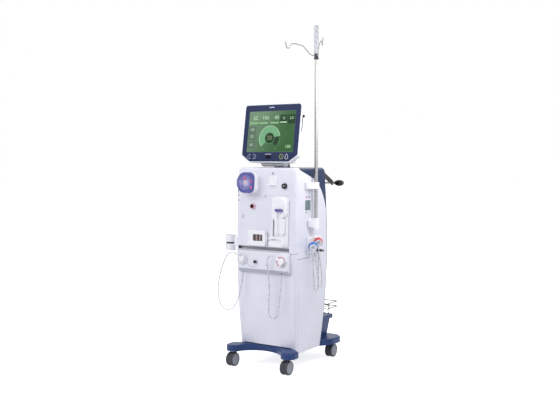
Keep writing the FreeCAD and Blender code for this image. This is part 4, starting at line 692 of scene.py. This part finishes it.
class DIALYSIS_OT_base(Piece):
    """Navy base, its steel frame, and the four twin casters"""
    bl_idname = "dialysis.base"
    bl_label = "Base and casters"

    def make(self):
        finished("base_cover", "base_navy_plastic")
        finished("base_frame", inner_steel())
        for corner in ("fl", "fr", "rl", "rr"):
            finished("caster_fork_" + corner, "caster_grey")
            node = "caster_wheels_" + corner
            wheels = finished(node, rubber("tyre_rubber", (0.050, 0.051, 0.060)))
            low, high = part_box(node)
            hub = (low + high) / 2
            rim = (high.z - low.z) / 2 - TYRE_THICK * MM
            paint_faces(wheels, "wheel_disc_grey",
                        lambda c, n: math.hypot(c.y - hub.y, c.z - hub.z) < rim)
            self.caps(corner, hub, (high.x - low.x) / 2)

    def caps(self, corner, hub, half):
        """Hub cap with a shallow dish on each wheel."""
        rings = [(9, -1.0), (9, 0.3), (8, 1.2), (5.5, 1.4), (5, 0.9), (0.5, 0.8)]
        for side, name in ((-1, "left"), (1, "right")):
            cap = stack("hub_cap_%s_%s" % (corner, name), rings, 32)
            spot = hub + Vector((side * (half - CAP_SINK * MM), 0, 0))
            place = Matrix.Translation(spot) @ turned(90 * side, "Y")
            fit(cap, place, "wheel_disc_grey", body_of("caster_wheels_" + corner))


class DIALYSIS_OT_covers(Piece):
    """White door, front panel, side panels, navy rear cover, drip tray and shelf"""
    bl_idname = "dialysis.covers"
    bl_label = "Covers"

    def make(self):
        for node in ("front_door", "front_panel"):
            finished(node, body_white(), 28)
        self.seams(finished("side_panel_right", body_white(), 28))
        left = finished("side_panel_left", body_white(), 28)
        for level in SCREW_LEVELS:
            paint_round(left, "charcoal_plastic", at(SCREW_X, front_y(level), level), 5.5)
        finished("rear_cover", "rear_navy_plastic", 28)
        finished("drip_tray", "tray_grey")
        shelf = finished("concentrate_shelf", body_white())
        # The shelf's lower faces, which fall back to the door, are painted grey: painted shade under the
        # shelf's lip.
        foot = at(0, 0, SHELF_KNEE_Z - 9).z
        paint_faces(shelf, "grey_line_and_painted_shade", lambda c, n: c.z < foot and n.y < 0.2)
        finished("canister_stand", "base_navy_plastic")
        finished("side_button", "black_plastic")
        self.label_plate()
        self.shelf_marks()
        self.edge_strip()
        self.inside()

    def label_plate(self):
        """Bare grey plate on the right side, with two round marks above it and a small one below."""
        plate = block("side_plate", 54, 54, -0.2, 1.2, 5, 0.5)
        fit(plate, on_side(*SIDE_PLATE), "plate_teal_grey")
        marks = (("side_mark_red", -60, 931, 6.0, "mark_red"),
                 ("side_mark_slate", -34, 932, 6.0, "mark_slate"),
                 ("side_mark_low", -62, 849, 4.5, "mark_slate"))
        for name, y, z, radius, finish in marks:
            dot = stack(name, [(radius, -0.2), (radius, 0.6), (radius - 0.6, 0.9)], 32)
            fit(dot, on_side(y, z), finish)

    def shelf_marks(self):
        """Curved grey line from the left connector to the spout, and the dark red mark on the foot."""
        line = arc_band("shelf_line", 62, 2.4, 0.5, -0.1, 226, 62, 24)
        fit(line, on_shelf(-59, 614), "grey_line_and_painted_shade")
        lock = stack("shelf_lock_mark", [(4.2, -0.2), (4.2, 0.7), (3.4, 1.1), (0.5, 1.1)], 28)
        fit(lock, on_shelf_foot(115, 525), "lock_red")

    def seams(self, panel):
        """Dark grooves across the right side panel, where its lower cover meets the upper one."""
        def in_groove(centre, normal):
            x, y, z = (centre - ORIGIN) / MM
            side = SIDE_X - max(0.0, SIDE_STRAIGHT_Z - z) ** 2 / (2 * SIDE_RADIUS)
            depth = min(side - x, y - front_y(z))
            across = abs(z - SEAM_HIGH) < SEAM_HALF and y < SEAM_FRONT_Y + 2
            low = abs(z - SEAM_LOW) < SEAM_HALF and SEAM_FRONT_Y < y < SEAM_REAR_Y
            rise = abs(y - SEAM_REAR_Y) < SEAM_HALF and SEAM_LOW < z < SEAM_HIGH
            return SEAM_DEPTHS[0] < depth < SEAM_DEPTHS[1] and (across or low or rise)

        paint_faces(panel, "seam_grey", in_groove)

    def edge_strip(self):
        """Grey strip at the left edge of the front, under the blood pump."""
        strip = block("left_edge_strip", 4.0, 34, -0.2, 0.6, 1.8)
        fit(strip, on_front(*EDGE_STRIP), "strip_grey")

    def inside(self):
        for node, material in (("chassis", inner_steel()), ("hydraulic_unit", steel()),
                               ("electronics", inner_steel()), ("pump_motor", "charcoal_plastic")):
            obj = frame["nodes"][node]
            obj.data.materials.clear()
            coat(obj, material)


class DIALYSIS_OT_front(Piece):
    """Line detector, syringe pump, pressure ports, card slot and clips on the front panel"""
    bl_idname = "dialysis.front"
    bl_label = "Front modules"
    white = ("line_detector", "syringe_carriage")

    def make(self):
        white_pair("line_detector_door", "line_detector_window", self.smoked(), "detector_door")
        white_pair("syringe_pump", "syringe_clip", "clip_violet")
        fittings = finished("front_fittings", "trim_white")
        paint_round(fittings, "black_plastic", at(*SPOUT_MIDDLE), SPOUT_REACH)
        self.ports()
        self.card_slot()
        self.syringe()

    def ports(self):
        """Threaded ports: a pale pink collar round the red one, and a grey bore in the black one."""
        finishes = {"pressure_port_left": ("red", "port_pink", "port_red", "black_plastic"),
                    "pressure_port_right": ("dark", "charcoal_plastic", "black_plastic", "tray_grey")}
        for node, place in PORT_PLACES.items():
            slot, outer, *inner = finishes[node]
            port = finished(node, outer)
            for finish, radius in zip(inner, PORT_RINGS):
                paint_core(port, finish, on_front(*place), radius)

    def smoked(self):
        """Brown-grey window with two pale upright bands, where the light comes through."""
        left = at(DETECTOR_WINDOW[0], 0, 0).x

        def paint(place, shader):
            x = place.node("SeparateXYZ", Vector=place)
            across = (x - left) * (1.0 / ((DETECTOR_WINDOW[1] - DETECTOR_WINDOW[0]) * MM))
            wave = across * WINDOW_RATE + WINDOW_START
            band = wave.maths("SINE", wave).smooth(0.1, 0.95)
            speck = noise(place, 260.0, 2.0).smooth(0.4, 0.8)
            tone = (band * 0.85 + speck * 0.15).blend((0.060, 0.045, 0.042), (0.43, 0.31, 0.29))
            feed(shader, Base_Color=tone, Roughness=0.14 + band * 0.1, Coat_Weight=0.2,
                 Specular_IOR_Level=0.3)
        return finish_material("smoked_window", paint)

    def card_slot(self):
        # The black slit is painted shadow in the card slot's opening.
        slit = block("card_slit", 38, 2.6, 3.0, 4.3, 1.2, centre=(0, -24))
        fit(slit, on_front(*CARD_PLACE), "black_plastic")
        eye = stack("sensor_eye", [(4.6, 2.2), (4.6, 2.9), (3.6, 3.3), (0.6, 3.4)], 32)
        fit(eye, on_front(*EYE_PLACE), "black_plastic")

    def syringe(self):
        """Thin dark strip along the carriage's slot: painted shadow inside the slit."""
        lip = block("syringe_slot_shadow", 2.6, 80, 6.9, 7.15, 1.2, centre=(-34.2, -34))
        fit(lip, on_front(*SYRINGE_PLACE), "slot_shadow_grey")


class DIALYSIS_OT_blood_pump(Piece):
    """Blood pump: housing, rotor with its rollers and crank, and the tinted cover"""
    bl_idname = "dialysis.blood_pump"
    bl_label = "Blood pump"
    white = ("pump_housing",)

    def make(self):
        finished("pump_rotor", "rotor_lilac")
        finished("pump_rollers", steel())
        cover = finished("pump_cover", clear_violet())
        # The cover's left part is painted trim white: a painted highlight on the tinted cover.
        inward = on_front(*PUMP_PLACE).inverted()
        paint_faces(cover, "trim_white", lambda c, n: (inward @ c).x < COVER_HIGHLIGHT_X * MM)
        self.crank()
        self.guides()

    def crank(self):
        """Folding crank on the rotor, seen through the cover's window."""
        rings = [(25, 38.1), (26, 38.8), (26, 41.2), (24.6, 42.2), (12.4, 42.4), (11.6, 43.2), (1, 43.4)]
        handle = block("rotor_crank_handle", 20, 5, 43.2, 47.5, 2.4, 0.8)
        made = join("rotor_crank", [stack("rotor_crank", rings, 56), handle])
        fit(made, on_front(*PUMP_PLACE) @ turned(CRANK_TURN), "crank_pale", "rotor")

    def guides(self):
        """Red guide marks round the cover."""
        for i, (x, y) in enumerate(((-3, 24), (40, 8), (41, -26))):
            mark = stack("pump_guide_%d" % i, [(7.5, -0.2), (7.5, 0.7), (6.4, 1.3), (1, 1.4)], 32)
            place = on_front(*PUMP_PLACE) @ moved(x, y, COVER_FRONT)
            fit(mark, place, "guide_red", "pump_cover")


class DIALYSIS_OT_connectors(Piece):
    """Concentrate connectors on the shelf, couplings on the right side, and the dialyser clip"""
    bl_idname = "dialysis.connectors"
    bl_label = "Connectors and clip"
    white = ("connector_left", "connector_right", "holder_bracket")

    def make(self):
        rim = arc_band("connector_red_band", CONNECTOR_RIM, 4.4, RIM_THICK, RIM_LOW, 20, 230)
        fit(rim, on_shelf(*RIGHT_NOZZLE), "ring_red")
        edge = arc_band("connector_brown_band", CONNECTOR_RIM, 4.4, RIM_THICK, RIM_LOW, -92, 104)
        fit(edge, on_shelf(*RIGHT_NOZZLE), "ring_brown")
        collar = ring("connector_pale_ring", CONNECTOR_RIM, 4.0, RIM_THICK, RIM_LOW)
        fit(collar, on_shelf(*LEFT_NOZZLE), "tray_grey")
        self.coupling("coupling_blue", COUPLING_PLACES[0], "grip_blue")
        self.coupling("coupling_red", COUPLING_PLACES[1], "grip_red")
        white_pair("coupling_block", "filter_fitting", "black_plastic")
        clip = finished("holder_arm", "trim_white")
        pad_low, pad_high = (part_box("holder_arm")[0].z + height * MM for height in CLIP_PAD)
        paint_faces(clip, "charcoal_plastic", lambda c, n: pad_low < c.z < pad_high)

    def coupling(self, node, place, colour):
        """Coloured grip with a white mouth and nozzle."""
        grip = finished(node, colour)
        seat = Matrix.Translation(at(*place)) @ aimed(*COUPLING_AIM)
        inward = seat.inverted()

        def in_mouth(centre, normal):
            spot = inward @ centre
            return spot.z > COUPLING_FLOOR * MM and spot.xy.length < COUPLING_MOUTH * MM

        paint_faces(grip, "trim_white", in_mouth)
        collar = ring(node + "_liner", 11.0, 5.0, 3.0, COUPLING_FLOOR + 3.3, 48)
        fit(collar, seat, "trim_white")


class DIALYSIS_OT_pole(Piece):
    """Infusion pole with its brackets, hooks and ribbed sleeve"""
    bl_idname = "dialysis.pole"
    bl_label = "Infusion pole"
    white = ("pole_brackets",)

    def make(self):
        for node in ("pole_tube", "pole_rod"):
            finished(node, steel())
        hooks = finished("iv_hooks", metal("hook_steel", (0.36, 0.36, 0.38), gloss=0.28))
        axis = Matrix.Translation(at(POLE_X, 0, 0))
        paint_core(hooks, "charcoal_plastic", axis, COLLAR_OUTER)
        sleeve = finished("pole_sleeve", "sleeve_pale")
        paint_core(sleeve, "tray_grey", axis, SLEEVE_CORE)


class DIALYSIS_OT_monitor(Piece):
    """Monitor: navy front, white shell, tilting foot and the side key"""
    bl_idname = "dialysis.monitor"
    bl_label = "Monitor"
    white = ("monitor_shell", "monitor_neck", "tilt_bracket")

    def make(self):
        for node in ("monitor_bezel", "monitor_pedestal"):
            finished(node, navy())
        finished("power_key", "black_plastic")
        finished("monitor_screen", screen_glass())
        self.side_strip()
        self.reader()
        self.symbols()

    def side_strip(self):
        """Navy strip let into the right side of the shell."""
        strip = block("monitor_side_strip", 8, 78, -0.3, 0.7, 3.5, 0.3)
        fit(strip, ON_MONITOR @ moved(184, 38, -18) @ turned(90, "Y"), navy(), "monitor")

    def reader(self):
        """Black reader window in the lower bezel, a lit dash over it and a lit lamp in the top bezel."""
        window = block("reader_window", 33, 17, 0.4, 1.0, 2, 0.2, centre=(-4, -141))
        fit(window, ON_MONITOR, "reader_black", "monitor")
        for name, x, y, width, height in (("bezel_dash", -5, -125, 40, 3.2),
                                          ("bezel_lamp", -6, 133, 34, 5.0)):
            dash = block(name, width, height, SYMBOL_LOW, SYMBOL_HIGH, height * 0.45, centre=(x, y))
            fit(dash, ON_MONITOR, symbol_white(), "monitor")

    def symbols(self):
        """Lit touch symbols: two open rings at the left, a yellow-green ring and a drop at the right."""
        pale = glowing("symbol_pale", (0.36, 0.40, 0.52), 0.9)
        yellow = glowing("symbol_yellow", (0.36, 0.40, 0.10), 1.0)
        for name, x, radius, finish, start, sweep in (("touch_left_outer", -127, 12, pale, 40, 280),
                                                      ("touch_left_inner", -97, 12, pale, -130, 260),
                                                      ("touch_right_inner", 81, 13, yellow, 0, 359)):
            mark = self.arc(name + "_arc", radius, start, sweep)
            bar = self.bar(name + "_bar", radius)
            fit(join(name, [mark, bar]), ON_MONITOR @ moved(x, SYMBOL_ROW), finish, "monitor")
        self.drop()

    def arc(self, name, radius, start, sweep):
        return arc_band(name, radius, SYMBOL_WIDTH, SYMBOL_HIGH - SYMBOL_LOW, SYMBOL_LOW, start, sweep)

    def bar(self, name, length):
        return block(name, SYMBOL_WIDTH, length, SYMBOL_LOW, SYMBOL_HIGH, 1.2)

    def drop(self):
        """Drop: a round lower half drawn up to a point."""
        bowl = self.arc("touch_right_outer", 9, 150, 240)
        sides = []
        for side in (-1, 1):
            sides.append(settle(self.bar("drop_side", 17), moved(side * 4.6, 11.5) @ turned(side * 28)))
        made = join("touch_right_outer", [bowl] + sides)
        fit(made, ON_MONITOR @ moved(114, SYMBOL_ROW - 4), symbol_white(), "monitor")


class DIALYSIS_OT_screen_picture(Piece):
    """The picture on the screen: number fields, a dial and a side column"""
    bl_idname = "dialysis.screen_picture"
    bl_label = "Screen picture"

    def make(self):
        for i, (text, x, bar_x) in enumerate((("62", -108, -116), ("106", -42, -53), ("40", 30, 18))):
            self.numbers("field_number_%d" % i, text, x, 76, 30)
            self.plate("field_bar_%d" % i, bar_x, 48, 56, 8, "bar", 2.0)
        for i, (text, x) in enumerate((("12", 76), ("2.0", 126))):
            self.plate("field_dark_%d" % i, x, 66, 46, 50, "dark_green")
            self.numbers("field_number_%d" % (i + 3), text, x, 72, 20)
        self.plate("field_bar_3", 76, 50, 42, 8, "digit", 1.0, 0.15)
        for i, (text, y) in enumerate((("130", 12), ("20", -26), ("42", -72))):
            self.plate("column_edge_%d" % i, -124, y, 46, 36, "column_edge")
            self.plate("column_%d" % i, -124, y, 42, 32, "column", 2.0, 0.1)
            self.numbers("column_number_%d" % i, text, -124, y, 18)
        self.plate("column_line", -94, -30, 1.6, 150, "column", 0.5)
        self.dial()
        self.numbers("corner_number", "100", 116, -84, 24)
        self.plate("corner_field", 116, -84, 66, 30, "corner", 3.0, -0.1)
        for i, x in enumerate((-42, 36)):
            self.plate("foot_tick_%d" % i, x, -96, 14, 2.4, "light_green", 0.8)
        for end, sides, levels in ((-1, "left", "foot"), (1, "right", "top")):
            self.plate("frame_" + sides, end * 150.6, 0, 2.2, 226, "frame", 0.5)
            self.plate("frame_" + levels, 0, end * 112.6, 302, 2.2, "frame", 0.5)

    def plate(self, name, x, y, width, height, tone, radius=3.0, lift=0.0):
        piece = block(name, width, height, PRINT_LOW + lift, PRINT_HIGH + lift, radius, centre=(x, y))
        fit(piece, ON_MONITOR, picture(tone), "monitor")

    def numbers(self, name, text, x, y, height, tone="digit"):
        deselect()
        bpy.ops.object.text_add(location=(x * MM, y * MM, DIGIT_LOW * MM))
        label = bpy.context.object
        label.data.body = text
        label.data.size = height * MM
        label.data.align_x, label.data.align_y = "CENTER", "CENTER"
        label.data.extrude = 0.1 * MM
        label.data.offset = 0.012 * height * MM
        label.data.resolution_u = 3
        bpy.ops.object.convert(target="MESH")
        label = bpy.context.object
        label.name = name
        fit(label, ON_MONITOR, picture(tone), "monitor")

    def dial(self):
        """Round gauge: a light band over the top with a pale edge, a dark sector and a dark middle."""
        place = ON_MONITOR @ moved(*DIAL_CENTRE)
        parts = ((arc_band("dial_band", 48.5, 33, 0.3, 0.1, 10, 212, 60), "light_green"),
                 (arc_band("dial_edge", 67, 2.8, 0.35, 0.1, 10, 212, 60), "edge"),
                 (arc_band("dial_edge_low", 67, 1.2, 0.3, 0.1, -58, 68, 30), "light_green"),
                 (arc_band("dial_sector", 47, 30, 0.34, 0.1, -46, 54, 20), "dark_green"),
                 (ring("dial_middle_edge", 30, 1.4, 0.4, 0.1), "light_green"),
                 (stack("dial_middle", [(29, 0.1), (29, 0.45), (28.5, 0.5)], 64), "dark_green"))
        for piece, tone in parts:
            fit(piece, place, picture(tone), "monitor")
        self.numbers("dial_number", "20", *DIAL_CENTRE, 32, "dial_digit")


class DIALYSIS_OT_rear(Piece):
    """Push handle, wire rack and what stands behind the machine"""
    bl_idname = "dialysis.rear"
    bl_label = "Handle and rack"

    def make(self):
        for node in ("handle_straps", "wire_rack"):
            finished(node, "black_paint")
        chrome = metal("bar_chrome", (0.66, 0.67, 0.69), gloss=0.16, streak=(0.04, 1.0, 1.0))
        bar = finished("handle_bar", chrome)
        low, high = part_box("handle_bar")
        middle = (low.x + high.x) / 2
        paint_faces(bar, "black_plastic", lambda c, n: abs(c.x - middle) > GRIP_START * MM)


class DIALYSIS_OT_hoses(Piece):
    """Silicone hoses at the front and the right side"""
    bl_idname = "dialysis.hoses"
    bl_label = "Hoses"

    def make(self):
        settings = bpy.context.scene.dialysis_hoses
        for node, spot, aim, rest in (("hose_left", LEFT_NOZZLE, LEFT_AIM, HOSE_LEFT),
                                      ("hose_front", RIGHT_NOZZLE, RIGHT_AIM, HOSE_FRONT)):
            start = on_shelf(*spot) @ Vector((0, 0, NOZZLE_START * MM))
            self.hose(node, start, aim, NOZZLE_REACH, rest, settings.width)
        for node, spot, rest in (("hose_blue", COUPLING_PLACES[0], HOSE_BLUE),
                                 ("hose_red", COUPLING_PLACES[1], HOSE_RED)):
            self.hose(node, at(*spot), COUPLING_AIM, COUPLING_REACH, rest, settings.side_width)

    def hose(self, node, start, aim, reach, rest, width):
        """A hose through the nozzle's two points and the route's corners."""
        along = Vector(aim).normalized()
        points = [start + along * distance * MM for distance in reach] + [at(*p) for p in rest]
        curve = bpy.data.curves.new(node + "_curve", "CURVE")
        curve.dimensions = "3D"
        spline = curve.splines.new("NURBS")
        spline.points.add(len(points) - 1)
        for entry, point in zip(spline.points, points):
            entry.co = (*point, 1.0)
            entry.radius = width / 2
        spline.order_u = 3
        spline.use_endpoint_u = True
        spline.resolution_u = 12
        curve.bevel_depth = 1.0
        curve.bevel_resolution = 4
        curve.use_fill_caps = True
        curve.materials.append(hose_silicone())
        obj = bpy.data.objects.new(node + "_tube", curve)
        bpy.context.scene.collection.objects.link(obj)
        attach(obj, "machine")
        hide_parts(node)
        self.length(obj, curve)

    def length(self, obj, curve):
        """Length of the curve's own line."""
        depth, curve.bevel_depth = curve.bevel_depth, 0.0
        graph = bpy.context.evaluated_depsgraph_get()
        line = bpy.data.meshes.new_from_object(obj.evaluated_get(graph))
        spots = [v.co.copy() for v in line.vertices]
        bpy.data.meshes.remove(line)
        curve.bevel_depth = depth
        return sum((b - a).length for a, b in zip(spots, spots[1:]))


class DIALYSIS_OT_stage(Piece):
    """Pale floor, soft lamps, plain light round about, and the camera"""
    bl_idname = "dialysis.stage"
    bl_label = "Stage"

    def make(self):
        scene = bpy.context.scene
        self.floor()
        self.lamps()
        self.world(scene)
        self.camera(scene)
        scene.view_settings.view_transform = "Standard"

    def floor(self):
        """Pale floor that takes the machine's shadow and, seen by the camera, runs out into the white."""
        deselect()
        bpy.ops.mesh.primitive_plane_add(size=60, location=(0, 0, 0))
        floor = bpy.context.object
        floor.name = "studio_floor"
        material = bpy.data.materials.new("studio_floor")
        material.use_nodes = True
        tree = material.node_tree
        tree.nodes.clear()
        new = Socket(tree, None).node
        diffuse = new("BsdfDiffuse", Color=FLOOR_COLOUR)
        lifted = new("AddShader", i0=diffuse, i1=new("Emission", Strength=FLOOR_LIFT))
        mixed = new("MixShader", i0=self.seen(tree), i1=diffuse, i2=lifted)
        feed(tree.nodes.new("ShaderNodeOutputMaterial"), Surface=mixed)
        floor.data.materials.append(material)

    def seen(self, tree):
        """1 for a ray from the camera, also by way of a reflection or through something clear."""
        outputs = tree.nodes.new("ShaderNodeLightPath").outputs
        value = Socket(tree, outputs["Is Camera Ray"])
        for name in ("Is Glossy Ray", "Is Transmission Ray"):
            value = value.maths("MAXIMUM", value, Socket(tree, outputs[name]))
        return value

    def lamps(self):
        for name, (place, size, power) in LAMPS.items():
            data = bpy.data.lights.new(name, "AREA")
            data.size, data.energy = size, power
            lamp = bpy.data.objects.new(name, data)
            lamp.location = at(*place)
            lamp.visible_camera = False
            lamp.rotation_euler = (at(0, 0, 800) - at(*place)).to_track_quat("-Z", "Y").to_euler()
            bpy.context.scene.collection.objects.link(lamp)

    def world(self, scene):
        world = bpy.data.worlds.new("studio_world")
        world.use_nodes = True
        tree = world.node_tree
        tree.nodes.clear()
        new = Socket(tree, None).node
        soft = new("Background", Color=SKY_COLOUR, Strength=SKY_STRENGTH)
        mixed = new("MixShader", i0=self.seen(tree), i1=soft, i2=new("Background", Color=(1, 1, 1)))
        feed(tree.nodes.new("ShaderNodeOutputWorld"), Surface=mixed)
        scene.world = world

    def camera(self, scene):
        data = bpy.data.cameras.new("camera")
        data.lens, data.sensor_width = CAMERA_LENS, 36.0
        data.clip_end = 60
        camera = bpy.data.objects.new("camera", data)
        camera.location = at(*CAMERA_PLACE)
        camera.rotation_euler = (math.radians(90 - CAMERA_PITCH), 0, math.radians(CAMERA_YAW))
        scene.collection.objects.link(camera)
        scene.camera = camera


OPERATORS = (DIALYSIS_OT_base, DIALYSIS_OT_covers, DIALYSIS_OT_front, DIALYSIS_OT_blood_pump,
             DIALYSIS_OT_connectors, DIALYSIS_OT_pole, DIALYSIS_OT_monitor, DIALYSIS_OT_screen_picture,
             DIALYSIS_OT_rear, DIALYSIS_OT_hoses, DIALYSIS_OT_stage)


class DIALYSIS_PT_panel(bpy.types.Panel):
    """Lists the settings and the pieces"""
    bl_label = "Dialysis machine"
    bl_idname = "DIALYSIS_PT_panel"
    bl_space_type = "VIEW_3D"
    bl_region_type = "UI"
    bl_category = "Dialysis"

    def draw(self, context):
        for group in (getattr(context.scene, entry) for entry in GROUPS):
            for name in group.bl_rna.properties.keys():
                if name not in ("rna_type", "name"):
                    self.layout.prop(group, name)
        for operator in OPERATORS:
            self.layout.operator(operator.bl_idname)


GROUPS = {"dialysis_covers": CoverSettings, "dialysis_hoses": HoseSettings, "dialysis_screen": ScreenSettings}


def register():
    for group in GROUPS.values():
        bpy.utils.register_class(group)
    for name, group in GROUPS.items():
        setattr(bpy.types.Scene, name, bpy.props.PointerProperty(type=group))
    for operator in OPERATORS:
        bpy.utils.register_class(operator)
    bpy.utils.register_class(DIALYSIS_PT_panel)


def unregister():
    bpy.utils.unregister_class(DIALYSIS_PT_panel)
    for operator in OPERATORS:
        bpy.utils.unregister_class(operator)
    for name, group in GROUPS.items():
        delattr(bpy.types.Scene, name)
        bpy.utils.unregister_class(group)


def main():
    register()
    for operator in OPERATORS:
        group, name = operator.bl_idname.split(".")
        getattr(getattr(bpy.ops, group), name)()
    bpy.context.view_layer.update()


if __name__ == "__main__":
    main()
